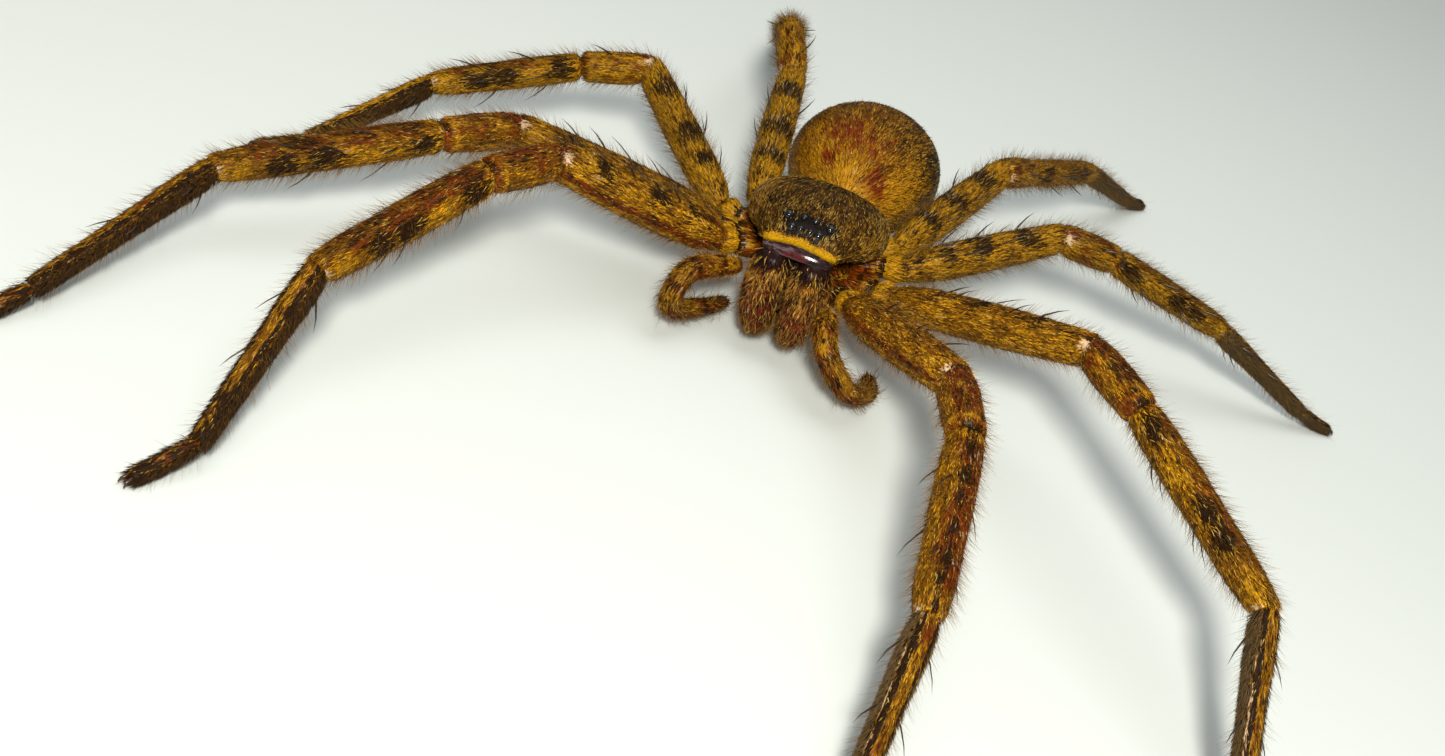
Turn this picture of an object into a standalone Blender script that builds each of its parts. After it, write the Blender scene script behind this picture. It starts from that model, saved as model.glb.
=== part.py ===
# Huntsman spider, a large female in her resting stance, as the solids of a life-size model.
# Metres, +Z up. She faces -Y on the floor at z = 0, and her left side is at +X.

import math
import random

import bmesh
import bpy
from mathutils import Matrix, Vector

mm = 0.001

# Driving dimensions, in millimetres
carapace_width = 10.4
carapace_height = 3.3
margin_height = 6.83
body_roll = math.radians(5.6)
body_pitch = math.radians(-0.5)
abdomen_size = (11.8, 14.8, 9.4)
abdomen_centre = (0.45, 13.0, -0.2)
joint_gap = 0.3
eye_gap = 0.08
ankle_height = 1.5
toe_height = 0.22
tube_sides = 10

segment_names = ("femur", "patella", "tibia", "metatarsus", "tarsus")
segment_lengths = {
    1: (14.0, 5.9, 13.6, 13.0, 4.1),
    2: (15.5, 6.1, 15.2, 14.2, 4.2),
    3: (12.7, 5.1, 11.3, 10.7, 3.5),
    4: (13.9, 4.9, 12.1, 12.7, 3.7),
}
segment_widths = {
    1: (3.2, 2.8, 2.5, 1.5, 1.0),
    2: (3.0, 2.7, 2.4, 1.5, 1.0),
    3: (2.7, 2.5, 2.1, 1.4, 0.95),
    4: (2.7, 2.5, 2.1, 1.4, 0.95),
}

# Where each femur begins, from the middle of the carapace's margin. The hips shift with the stance.
hips = {
    "left": {1: (4.8, -4.7, -2.1), 2: (6.9, -2.0, -1.8), 3: (6.75, 0.8, -0.9), 4: (5.6, 3.4, -0.85)},
    "right": {1: (-5.85, -4.25, -1.0), 2: (-6.6, -1.9, -1.15), 3: (-7.2, 0.75, -1.1), 4: (-5.25, 3.5, -0.6)},
}

# The stance, in degrees: a bearing for each of the five segments, and a rise for the first three
stance = {
    "left": {
        1: ((-53, -72, -82, -90, -85), (18.5, 1.5, -14)),
        2: ((-23.5, -48.5, -48, -76, -55), (22.5, 0.5, -8)),
        3: ((40, 28, 21.5, 18, 25), (18, -10, -17)),
        4: ((70.5, 66, 65.5, 66, 62), (14, -11, -10.5)),
    },
    "right": {
        1: ((-142.5, -116, -109.5, -87, -115), (19.5, -1.5, -14)),
        2: ((-161, -124, -131, -101, -111), (10, -0.5, -10)),
        3: ((144, -155, -143.5, -115, -150), (18.5, -12.5, -17)),
        4: ((101.5, 117, 98.5, 98, 99), (17, 18.5, -22.5)),
    },
}

# Each segment's outline: share of its length, and of its full width there
outlines = {
    "femur": ((0.07, 0.76), (0.18, 0.94), (0.4, 1.0), (0.65, 0.97), (0.86, 0.86), (0.96, 0.78), (1, 0.64)),
    "patella": ((0, 0.68), (0.12, 0.9), (0.45, 1.0), (0.82, 0.9), (1, 0.7)),
    "tibia": ((0, 0.72), (0.07, 0.95), (0.25, 1.05), (0.6, 1.0), (0.92, 0.86), (1, 0.7)),
    "metatarsus": ((0, 0.9), (0.08, 1.1), (0.4, 1.0), (0.85, 0.86), (0.96, 0.8), (1, 0.64)),
    "tarsus": ((0, 0.8), (0.15, 1.0), (0.7, 1.0), (0.92, 0.92), (1, 0.74)),
}

# Colours of the finished pieces
cuticle_colours = {
    "femur": (0.30, 0.19, 0.06),
    "patella": (0.42, 0.27, 0.08),
    "tibia": (0.30, 0.18, 0.06),
    "metatarsus": (0.20, 0.11, 0.05),
    "tarsus": (0.09, 0.045, 0.03),
    "carapace": (0.13, 0.075, 0.035),
    "sternum": (0.30, 0.17, 0.06),
    "abdomen": (0.17, 0.12, 0.05),
    "chelicera": (0.22, 0.09, 0.04),
    "palp": (0.36, 0.23, 0.08),
    "fang": (0.03, 0.01, 0.008),
    "eye": (0.004, 0.003, 0.003),
}

# Leg spines: for each segment, places along it and the angle from its back, in degrees
spine_rows = {
    "femur": ((0.22, 0), (0.45, 4), (0.7, -3), (0.32, 62), (0.6, 55), (0.32, -62), (0.6, -55)),
    "patella": ((0.55, 75), (0.55, -75)),
    "tibia": ((0.3, 78), (0.66, 78), (0.3, -78), (0.66, -78), (0.22, 135), (0.22, -135), (0.56, 135), (0.56, -135)),
    "metatarsus": ((0.14, 85), (0.46, 80), (0.14, -85), (0.46, -80), (0.1, 140), (0.1, -140)),
    "tarsus": (),
}
spine_lengths = {"femur": 2.5, "patella": 2.0, "tibia": 2.6, "metatarsus": 2.3, "tarsus": 0}
spine_thickness = 0.52
spine_lean = 42
spine_sides = 4

draw = random.Random(17)


def direction(bearing, rise):
    """The unit vector with this bearing from +X and this rise above the floor, both in degrees."""
    flat = math.cos(math.radians(rise))
    turn = math.radians(bearing)
    return Vector((flat * math.cos(turn), flat * math.sin(turn), math.sin(math.radians(rise))))


def across(vector, axis):
    """The part of a vector that stands square to an axis, at unit length."""
    return (vector - axis * vector.dot(axis)).normalized()


def frame_at(point, axis, back):
    """A matrix with X along the axis, Z towards the back and its origin at the point."""
    up = across(back, axis)
    side = up.cross(axis)
    turn = Matrix((axis, side, up)).transposed()
    return Matrix.Translation(point) @ turn.to_4x4()


def clear_scene():
    for obj in list(bpy.data.objects):
        bpy.data.objects.remove(obj, do_unlink=True)


def material_for(name, kind):
    material = bpy.data.materials.new(name)
    material.use_nodes = True
    shader = material.node_tree.nodes["Principled BSDF"]
    shader.inputs["Base Color"].default_value = (*cuticle_colours[kind], 1)
    shader.inputs["Metallic"].default_value = 0
    shader.inputs["Roughness"].default_value = 0.12 if kind in ("eye", "fang") else 0.6
    return material


def object_from(bm, name, kind, parent, place=None):
    """Turns a bmesh into an object of the scene, shaded smooth, in its parent's space."""
    bmesh.ops.recalc_face_normals(bm, faces=bm.faces)
    mesh = bpy.data.meshes.new(name)
    bm.to_mesh(mesh)
    bm.free()
    mesh.shade_smooth()
    mesh.set_sharp_from_angle(angle=math.radians(50))
    obj = bpy.data.objects.new(name, mesh)
    bpy.context.scene.collection.objects.link(obj)
    if kind:
        mesh.materials.append(material_for(name, kind))
    obj.parent = parent
    if place is not None:
        obj.matrix_local = place
    return obj


def add_loop(bm, points):
    verts = [bm.verts.new(point * mm) for point in points]
    return [bm.edges.new((a, b)) for a, b in zip(verts, verts[1:] + verts[:1])]


def loft(bm, rings):
    """Joins closed rings of points, in millimetres, into a skin with a flat cap at each end."""
    loops = [add_loop(bm, ring) for ring in rings]
    for near, far in zip(loops, loops[1:]):
        bmesh.ops.bridge_loops(bm, edges=near + far)
    for end in (loops[0], loops[-1]):
        bmesh.ops.contextual_create(bm, geom=end)


def oval(centre, side, up, half_width, half_height, sides=tube_sides, lean=None, axis=None):
    """A ring round a centre. With a lean it is slid along the axis into the plane square to the lean."""
    points = []
    for step in range(sides):
        angle = math.tau * (step + 0.5) / sides
        offset = side * half_width * math.cos(angle) + up * half_height * math.sin(angle)
        if lean is not None:
            offset -= axis * (offset.dot(lean) / axis.dot(lean))
        points.append(centre + offset)
    return points


def keep_clear(points, plane_point, plane, axis, least):
    """Slides points along the axis until each stands at least this far in front of a plane."""
    moved = []
    for point in points:
        short = least - (point - plane_point).dot(plane)
        moved.append(point + axis * (short / axis.dot(plane)) if short > 0 else point)
    return moved


def rings_along(path, radii, back, sides=tube_sides, flatness=1.0):
    """Rings square to a bent path, for pieces that are one tube."""
    rings = []
    for index, point in enumerate(path):
        before = path[max(index - 1, 0)]
        after = path[min(index + 1, len(path) - 1)]
        axis = (after - before).normalized()
        up = across(back, axis)
        rings.append(oval(point, axis.cross(up), up, radii[index], radii[index] * flatness, sides))
    return rings


def keep_largest(bm):
    """Deletes every closed surface of the mesh but the one that holds the most."""
    surfaces = []
    unseen = set(bm.faces)
    while unseen:
        start = unseen.pop()
        surface = [start]
        for face in surface:
            for edge in face.edges:
                for other in edge.link_faces:
                    if other in unseen:
                        unseen.remove(other)
                        surface.append(other)
        surfaces.append(surface)
    if len(surfaces) == 1:
        return

    def held(surface):
        total = 0
        for face in surface:
            corner = face.verts[0].co
            for one, two in zip(face.verts[1:-1], face.verts[2:]):
                total += corner.dot(one.co.cross(two.co))
        return total

    largest = max(surfaces, key=held)
    spare = [face for surface in surfaces if surface is not largest for face in surface]
    bmesh.ops.delete(bm, geom=spare, context="FACES")


def apply_boolean(obj, pieces, operation):
    """Applies one Boolean with a collection of meshes, removes them and keeps the largest surface."""
    group = bpy.data.collections.new(obj.name + "_pieces")
    bpy.context.scene.collection.children.link(group)
    for piece in pieces:
        bpy.context.scene.collection.objects.unlink(piece)
        group.objects.link(piece)
    modifier = obj.modifiers.new("join", "BOOLEAN")
    modifier.operation = operation
    modifier.operand_type = "COLLECTION"
    modifier.collection = group
    bpy.context.view_layer.update()
    graph = bpy.context.evaluated_depsgraph_get()
    result = bpy.data.meshes.new_from_object(obj.evaluated_get(graph))
    obj.modifiers.remove(modifier)
    bm = bmesh.new()
    bm.from_mesh(result)
    keep_largest(bm)
    bm.to_mesh(result)
    bm.free()
    old = obj.data
    obj.data = result
    result.name = old.name
    bpy.data.meshes.remove(old)
    for piece in pieces:
        bpy.data.objects.remove(piece, do_unlink=True)
    bpy.data.collections.remove(group)
    obj.data.shade_smooth()
    obj.data.set_sharp_from_angle(angle=math.radians(50))


def spine_object(root, axis, outward, length, parent, place):
    """One four-sided spine that rises outward from its root, leans along the axis and bends to its tip."""
    lean = math.radians(spine_lean)
    heading = axis * math.cos(lean) + outward * math.sin(lean)
    tip_heading = (heading + axis * 0.35).normalized()
    middle = root + heading * length * 0.55
    tip = middle + tip_heading * length * 0.45
    half = spine_thickness / 2
    bm = bmesh.new()
    rings = rings_along([root, middle, tip], [half, half * 0.8, half * 0.16], outward, spine_sides)
    loft(bm, rings)
    return object_from(bm, "spine", None, parent, place)


def width_at(outline, share):
    """The outline's width at a share of the segment's length."""
    for (start, low), (end, high) in zip(outline, outline[1:]):
        if share <= end:
            return low + (high - low) * (share - start) / (end - start)
    return outline[-1][1]


def place_spines(name, length, width, parent, place):
    """The spines of one leg segment, each sunk to near the segment's middle."""
    pieces = []
    axis = Vector((1, 0, 0))
    for share, angle in spine_rows[name]:
        turn = math.radians(angle + draw.uniform(-7, 7))
        outward = Vector((0, math.sin(turn), math.cos(turn)))
        radius = width_at(outlines[name], share) * width / 2
        root = axis * (share * length - radius * 0.3) + outward * radius * 0.35
        reach = spine_lengths[name] * draw.uniform(0.88, 1.1) + radius * 0.65
        pieces.append(spine_object(root, axis, outward, reach, parent, place))
    return pieces


def claws(length, parent, place):
    """The two hooked claws at the end of a tarsus."""
    pieces = []
    for side in (-1, 1):
        path = [
            Vector((length - 0.5, side * 0.14, 0.1)),
            Vector((length + 0.12, side * 0.2, 0.16)),
            Vector((length + 0.42, side * 0.26, -0.02)),
        ]
        bm = bmesh.new()
        loft(bm, rings_along(path, [0.2, 0.13, 0.035], Vector((0, 0, 1)), spine_sides))
        pieces.append(object_from(bm, "claw", None, parent, place))
    return pieces


def coxa_start(hip):
    """The point under the middle of the carapace that a coxa heads away from."""
    return Vector((0, -0.2, hip.z - 0.9))


def leg_path(body, side, number):
    """The six joints of a leg in millimetres, its five directions and the heading of its coxa."""
    bearings, rises = stance[side][number]
    hip = Vector(hips[side][number])
    joint = (body @ (hip * mm)) / mm
    sternum = (body @ (coxa_start(hip) * mm)) / mm
    joints = [joint]
    headings = []
    for index, length in enumerate(segment_lengths[number]):
        if index < 3:
            heading = direction(bearings[index], rises[index])
        else:
            aim = ankle_height if index == 3 else toe_height
            rise = math.degrees(math.asin((aim - joints[-1].z) / length))
            heading = direction(bearings[index], rise)
        headings.append(heading)
        joints.append(joints[-1] + heading * length)
    return joints, headings, (joint - sternum).normalized()


def make_leg(root, body, side, number):
    joints, headings, coxa = leg_path(body, side, number)
    # The back of a leg faces the outside of its knee, and turns upright towards the foot
    knee = headings[0] - headings[2]
    upright = Vector((0, 0, 1))
    backs = [knee, knee, knee, knee.normalized() + upright, upright]
    for index, name in enumerate(segment_names):
        axis = headings[index]
        length = segment_lengths[number][index]
        width = segment_widths[number][index]
        place = frame_at(joints[index] * mm, axis, backs[index])
        into = place.to_3x3().transposed()
        start_plane = into @ ((headings[index - 1] if index else coxa) + axis).normalized()
        ahead = headings[index + 1] if index < 4 else axis
        end_plane = into @ (axis + ahead).normalized()
        along = Vector((1, 0, 0))
        start_face = start_plane * joint_gap / 2
        end_face = along * length - end_plane * joint_gap / 2
        rings = []
        for order, (share, size) in enumerate(outlines[name]):
            half = size * width / 2
            centre = along * share * length
            lean = None
            if share == 0:
                lean = start_plane
                centre = start_face
            elif share == 1 and index < 4:
                lean = end_plane
                centre = end_face
            ring = oval(centre, Vector((0, 1, 0)), Vector((0, 0, 1)), half, half, lean=lean, axis=along)
            if share > 0:
                ring = keep_clear(ring, start_face, start_plane, along, 0.2 * (order + (index == 0)))
            if share < 1 and index < 4:
                ring = keep_clear(ring, end_face, -end_plane, along, 0.2 * (len(outlines[name]) - 1 - order))
            rings.append(ring)
        if index == 0:
            rings = trochanter_rings(into @ coxa, start_plane) + rings
        bm = bmesh.new()
        loft(bm, rings)
        if index == 4:
            flatten_sole(bm, place)
        node = object_from(bm, f"{side}_leg_{number}_{name}", name, root, place)
        pieces = claws(length, root, place) if index == 4 else []
        pieces += place_spines(name, length, width, root, place)
        if pieces:
            apply_boolean(node, pieces, "UNION")


def trochanter_rings(coxa, neck_plane):
    """The short knob between the coxa and the femur, in the femur's own space."""
    up = across(Vector((0, 0, 1)), coxa)
    side = up.cross(coxa)
    rings = []
    for back, half in ((1.25, 0.82), (0.95, 1.0), (0.55, 1.04)):
        rings.append(oval(coxa * -back, side, up, half, half))
    neck_up = across(Vector((0, 0, 1)), neck_plane)
    rings.append(oval(Vector((0, 0, 0)), neck_up.cross(neck_plane), neck_up, 0.88, 0.88))
    return rings


def flatten_sole(bm, place):
    """Cuts the tarsus level with the floor, so that it stands on a small flat."""
    inverse = place.inverted()
    floor_point = inverse @ Vector((0, 0, 0))
    floor_up = place.to_3x3().transposed() @ Vector((0, 0, 1))
    geometry = list(bm.verts) + list(bm.edges) + list(bm.faces)
    cut = bmesh.ops.bisect_plane(bm, geom=geometry, plane_co=floor_point, plane_no=-floor_up, clear_outer=True)
    edges = [item for item in cut["geom_cut"] if isinstance(item, bmesh.types.BMEdge)]
    bmesh.ops.contextual_create(bm, geom=edges)


def make_carapace(body):
    """A low dome over the head and legs, lofted along her length: place, half width, top and base."""
    half = carapace_width / 2
    top = carapace_height
    stations = (
        (-5.55, 0.45, 0.49, 0.85), (-5.4, 0.52, 0.6, 0.75), (-4.9, 0.58, 0.71, 0.74), (-4.1, 0.66, 0.84, 0.6),
        (-3.1, 0.77, 0.92, 0.3), (-1.4, 0.94, 0.99, 0.1), (0.7, 1.0, 0.96, 0.1), (2.5, 0.93, 0.83, 0.1),
        (3.9, 0.74, 0.62, 0.1), (4.85, 0.48, 0.4, 0.1), (5.25, 0.26, 0.27, 0.12),
    )
    rings = []
    for place, wide, high, base in stations:
        ring = []
        reach = wide * half
        rim = base + 0.3
        crown = max(high * top, rim + 0.4)
        for step in range(13):
            angle = math.pi * step / 12
            across_share = math.copysign(abs(math.cos(angle)) ** 0.9, math.cos(angle))
            rise_share = math.sin(angle) ** 0.85
            ring.append(Vector((reach * across_share, place, rim + (crown - rim) * rise_share)))
        ring += [Vector((-0.9 * reach, place, base)), Vector((0, place, base)), Vector((0.9 * reach, place, base))]
        rings.append(ring)
    bm = bmesh.new()
    loft(bm, rings)
    return object_from(bm, "carapace", "carapace", body)


def eye_places():
    """Name, centre and diameter of the eight eyes, in the body's space."""
    rows = (
        ("front_middle_eye", (0.345, -5.03, 2.3), 0.44),
        ("front_side_eye", (0.97, -4.98, 2.22), 0.56),
        ("rear_middle_eye", (0.42, -4.15, 2.78), 0.41),
        ("rear_side_eye", (1.52, -4.15, 2.58), 0.57),
    )
    for name, place, size in rows:
        for side, sign in (("left", 1), ("right", -1)):
            yield f"{side}_{name}", Vector((sign * place[0], place[1], place[2])), size


def ball(name, kind, centre, radius, parent, detail=2):
    bm = bmesh.new()
    bmesh.ops.create_icosphere(bm, subdivisions=detail, radius=radius * mm)
    return object_from(bm, name, kind, parent, Matrix.Translation(centre * mm))


def make_eyes(body, carapace):
    sockets = []
    for name, centre, size in eye_places():
        ball(name, "eye", centre, size / 2, body)
        sockets.append(ball("socket", None, centre, size / 2 + eye_gap, body, 1))
    apply_boolean(carapace, sockets, "DIFFERENCE")


def make_sternum(body):
    """The underside: a plate with the eight coxae, the two mouth lobes and the lip fused to it."""
    stations = ((-3.3, 1.9, 1.6), (-2.6, 2.9, 2.2), (-0.8, 3.6, 2.6), (1.2, 3.5, 2.6), (2.9, 2.6, 2.2), (3.8, 1.3, 1.5))
    rings = []
    for place, half, depth in stations:
        ring = []
        for step in range(12):
            angle = math.tau * step / 12
            drop = -0.35 - depth * (1 - math.sin(angle)) / 2
            ring.append(Vector((half * math.cos(angle), place, drop)))
        rings.append(ring)
    bm = bmesh.new()
    loft(bm, rings)
    plate = object_from(bm, "sternum", "sternum", body)
    pieces = []
    for places in hips.values():
        for place in places.values():
            hip = Vector(place)
            start = coxa_start(hip)
            heading = (hip - start).normalized()
            near = start + heading * 1.6 + Vector((0, 0, -0.15))
            far = hip - heading * (1.25 + joint_gap)
            path = [near, near.lerp(far, 0.5), near.lerp(far, 0.88), far]
            bm = bmesh.new()
            loft(bm, rings_along(path, [0.9, 1.08, 1.05, 0.82], Vector((0, 0, 1)), flatness=0.9))
            pieces.append(object_from(bm, "coxa", None, body))
    for side in (-1, 1):
        path = [Vector((side * 1.3, -2.4, -2.0)), Vector((side * 1.35, -3.4, -2.6)), Vector((side * 1.1, -4.2, -3.3))]
        bm = bmesh.new()
        loft(bm, rings_along(path, [0.8, 0.85, 0.5], Vector((0, 0, 1)), 8, 0.75))
        pieces.append(object_from(bm, "mouth_lobe", None, body))
    apply_boolean(plate, pieces, "UNION")


def make_abdomen(body):
    """An egg a little fuller behind, flattened above and below."""
    half_width, half_length, half_height = (size / 2 for size in abdomen_size)
    centre = Vector(abdomen_centre)
    count = 12
    rings = []
    for index in range(count + 1):
        share = -math.cos(math.pi * (0.035 + 0.93 * index / count))
        fullness = (1 - share * share) ** 0.5 * (1 + 0.07 * share)
        middle = centre + Vector((0, share * half_length, 0))
        rings.append(
            oval(middle, Vector((1, 0, 0)), Vector((0, 0, 1)), half_width * fullness, half_height * fullness, 16)
        )
    bm = bmesh.new()
    loft(bm, rings)
    object_from(bm, "abdomen", "abdomen", body)


def make_pedicel(body):
    path = [Vector((0, 4.1, -1.1)), Vector((0.1, 4.7, -1.05)), Vector((0.2, 5.3, -1.0))]
    bm = bmesh.new()
    loft(bm, rings_along(path, [0.7, 0.6, 0.7], Vector((0, 0, 1)), 8))
    object_from(bm, "pedicel", "sternum", body)


def make_spinnerets(body):
    """Three pairs of short tapered spinnerets on a common pad behind the abdomen."""
    end = Vector(abdomen_centre) + Vector((0, abdomen_size[1] / 2, 0))
    base = end + Vector((0, 0.2, -0.9))
    pad = [base + Vector((0, 0, 0)), base + Vector((0, 0.5, -0.05))]
    bm = bmesh.new()
    loft(bm, rings_along(pad, [1.15, 1.0], Vector((0, 0, 1)), 8, 0.75))
    node = object_from(bm, "spinnerets", "abdomen", body)
    pieces = []
    for across_pad, rise, reach, half in ((0.55, 0.3, 1.5, 0.33), (0.3, -0.05, 1.1, 0.27), (0.55, -0.4, 1.4, 0.36)):
        for side in (-1, 1):
            start = base + Vector((side * across_pad, 0.2, rise))
            heading = Vector((side * 0.25, 1, rise * 0.4)).normalized()
            path = [start, start + heading * reach * 0.75, start + heading * reach]
            bm = bmesh.new()
            loft(bm, rings_along(path, [half, half * 0.85, half * 0.45], Vector((0, 0, 1)), 6))
            pieces.append(object_from(bm, "spinneret", None, body))
    apply_boolean(node, pieces, "UNION")


def make_jaws(body):
    """The two stout chelicerae under the face and the fang folded at the end of each."""
    for side, sign in (("left", 1), ("right", -1)):
        path = [
            Vector((sign * 1.4, -5.2, 0.42)),
            Vector((sign * 1.44, -5.45, -0.2)),
            Vector((sign * 1.48, -5.95, -1.7)),
            Vector((sign * 1.42, -6.45, -3.3)),
            Vector((sign * 1.26, -6.85, -4.4)),
            Vector((sign * 1.18, -7.0, -4.85)),
        ]
        bm = bmesh.new()
        loft(bm, rings_along(path, [0.95, 1.2, 1.3, 1.2, 0.92, 0.62], Vector((0, -1, 0)), 12, 1.08))
        object_from(bm, f"{side}_chelicera", "chelicera", body)
        fang = [
            Vector((sign * 1.15, -6.3, -5.42)),
            Vector((sign * 1.0, -5.9, -5.45)),
            Vector((sign * 0.75, -5.4, -5.22)),
            Vector((sign * 0.5, -5.1, -4.85)),
        ]
        bm = bmesh.new()
        loft(bm, rings_along(fang, [0.26, 0.23, 0.15, 0.05], Vector((0, 0, 1)), 8))
        object_from(bm, f"{side}_fang", "fang", body)


def make_palps(root):
    """The two leg-like palps beside the jaws: their joints in the model's space, and their radii."""
    joints = {
        "left": ((3.35, -5.8, 4.3), (3.75, -7.3, 4.8), (4.1, -9.1, 4.9), (5.0, -10.3, 4.1),
                 (7.1, -10.4, 2.4), (8.35, -8.1, 1.6), (7.95, -6.7, 1.7)),
        "right": ((-3.6, -5.1, 4.5), (-4.6, -6.9, 4.9), (-5.8, -9.0, 5.1), (-6.3, -10.2, 4.2),
                  (-6.2, -10.2, 2.3), (-4.7, -7.5, 1.6), (-3.6, -5.4, 1.5)),
    }
    radii = (0.45, 0.7, 0.74, 0.72, 0.64, 0.56, 0.34)
    for side, places in joints.items():
        points = [Vector(place) for place in places]
        path = []
        sizes = []
        for index, (one, two) in enumerate(zip(points, points[1:])):
            for share in (0, 0.5):
                path.append(one.lerp(two, share))
                waist = 0.9 if share == 0 and index else 1
                sizes.append(waist * (radii[index] + (radii[index + 1] - radii[index]) * share))
        path.append(points[-1])
        sizes.append(radii[-1])
        bm = bmesh.new()
        loft(bm, rings_along(path, sizes, Vector((0, 0, 1)), 8))
        object_from(bm, f"{side}_palp", "palp", root)


def centre_on_floor(root):
    """Moves the root so that the model's box is centred over the origin."""
    bpy.context.view_layer.update()
    corners = []
    for obj in bpy.context.scene.objects:
        if obj.type == "MESH":
            corners += [obj.matrix_world @ vertex.co for vertex in obj.data.vertices]
    for axis in (0, 1):
        low = min(corner[axis] for corner in corners)
        high = max(corner[axis] for corner in corners)
        root.location[axis] -= (low + high) / 2


def empty(name, parent=None, place=None):
    obj = bpy.data.objects.new(name, None)
    bpy.context.scene.collection.objects.link(obj)
    obj.parent = parent
    if place is not None:
        obj.matrix_local = place
    return obj


def main():
    clear_scene()
    stance_matrix = (
        Matrix.Translation((0, 0, margin_height * mm))
        @ Matrix.Rotation(-body_roll, 4, "Y")
        @ Matrix.Rotation(body_pitch, 4, "X")
    )
    root = empty("spider")
    body = empty("body", root, stance_matrix)
    carapace = make_carapace(body)
    make_eyes(body, carapace)
    make_sternum(body)
    make_abdomen(body)
    make_pedicel(body)
    make_spinnerets(body)
    make_jaws(body)
    make_palps(root)
    for side, places in hips.items():
        for number in places:
            make_leg(root, stance_matrix, side, number)
    centre_on_floor(root)


main()
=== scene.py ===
import math
import random

import bmesh
import bpy
import numpy as np
from mathutils import Matrix, Vector


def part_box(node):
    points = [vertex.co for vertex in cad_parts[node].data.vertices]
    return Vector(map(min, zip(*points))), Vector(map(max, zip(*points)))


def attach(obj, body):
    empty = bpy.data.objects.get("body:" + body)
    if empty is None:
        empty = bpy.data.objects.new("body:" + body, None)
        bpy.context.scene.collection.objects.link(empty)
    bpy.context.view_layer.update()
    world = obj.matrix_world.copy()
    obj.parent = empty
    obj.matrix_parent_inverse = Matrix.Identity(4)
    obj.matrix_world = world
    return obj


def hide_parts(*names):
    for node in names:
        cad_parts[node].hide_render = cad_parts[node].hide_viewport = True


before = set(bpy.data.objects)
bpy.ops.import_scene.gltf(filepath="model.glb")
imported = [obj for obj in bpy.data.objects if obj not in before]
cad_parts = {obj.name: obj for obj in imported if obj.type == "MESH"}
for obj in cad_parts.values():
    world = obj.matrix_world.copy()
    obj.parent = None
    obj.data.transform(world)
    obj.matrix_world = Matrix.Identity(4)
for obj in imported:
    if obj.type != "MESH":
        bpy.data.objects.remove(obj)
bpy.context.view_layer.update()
mm = 0.001
print("frame loaded")

# The stance, as the solids have it: millimetres and degrees, she faces -Y and her left is +X
stanceOf = {
    "marginHeight": 6.83,  # the carapace's margin above the floor
    "roll": 5.6,
    "pitch": -0.5,
    "ankleHeight": 1.5,
    "toeHeight": 0.22,
    "eyeRuler": (0.345, -5.03, 2.3),  # the left front middle eye, in the body's space
}
segmentNames = ("femur", "patella", "tibia", "metatarsus", "tarsus")
legLengths = {
    1: (14.0, 5.9, 13.6, 13.0, 4.1),
    2: (15.5, 6.1, 15.2, 14.2, 4.2),
    3: (12.7, 5.1, 11.3, 10.7, 3.5),
    4: (13.9, 4.9, 12.1, 12.7, 3.7),
}
legWidths = {
    1: (3.2, 2.8, 2.5, 1.5, 1.0),
    2: (3.0, 2.7, 2.4, 1.5, 1.0),
    3: (2.7, 2.5, 2.1, 1.4, 0.95),
    4: (2.7, 2.5, 2.1, 1.4, 0.95),
}
hips = {
    "left": {1: (4.8, -4.7, -2.1), 2: (6.9, -2.0, -1.8), 3: (6.75, 0.8, -0.9), 4: (5.6, 3.4, -0.85)},
    "right": {1: (-5.85, -4.25, -1.0), 2: (-6.6, -1.9, -1.15), 3: (-7.2, 0.75, -1.1), 4: (-5.25, 3.5, -0.6)},
}
# Five bearings and three rises for each leg, in degrees
legAngles = {
    "left": {
        1: ((-53, -72, -82, -90, -85), (18.5, 1.5, -14)),
        2: ((-23.5, -48.5, -48, -76, -55), (22.5, 0.5, -8)),
        3: ((40, 28, 21.5, 18, 25), (18, -10, -17)),
        4: ((70.5, 66, 65.5, 66, 62), (14, -11, -10.5)),
    },
    "right": {
        1: ((-142.5, -116, -109.5, -87, -115), (19.5, -1.5, -14)),
        2: ((-161, -124, -131, -101, -111), (10, -0.5, -10)),
        3: ((144, -155, -143.5, -115, -150), (18.5, -12.5, -17)),
        4: ((101.5, 117, 98.5, 98, 99), (17, 18.5, -22.5)),
    },
}


# Where things are

def bodyToPose():
    return (
        Matrix.Translation((0, 0, stanceOf["marginHeight"]))
        @ Matrix.Rotation(-math.radians(stanceOf["roll"]), 4, "Y")
        @ Matrix.Rotation(math.radians(stanceOf["pitch"]), 4, "X")
    )


bodyMatrix = bodyToPose()
eyeLow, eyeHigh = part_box("left_front_middle_eye")
poseShift = bodyMatrix @ Vector(stanceOf["eyeRuler"]) - (eyeLow + eyeHigh) / 2 / mm
poseShift.z = 0  # the floor is the same in both
bodyMatrix = Matrix.Translation(-poseShift) @ bodyMatrix
bodyTurn = np.array(bodyMatrix.to_3x3())
bodyPlace = np.array(bodyMatrix.translation)


def toModel(points):  # body space to the model's, millimetres
    return np.asarray(points, float) @ bodyTurn.T + bodyPlace


def unit(vectors):
    lengths = np.linalg.norm(vectors, axis=-1, keepdims=True)
    return vectors / np.maximum(lengths, 1e-12)


def heading(bearing, rise):
    flat = math.cos(math.radians(rise))
    turn = math.radians(bearing)
    return np.array((flat * math.cos(turn), flat * math.sin(turn), math.sin(math.radians(rise))))


def squareTo(vector, axis):
    return unit(vector - axis * np.dot(vector, axis))


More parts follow.
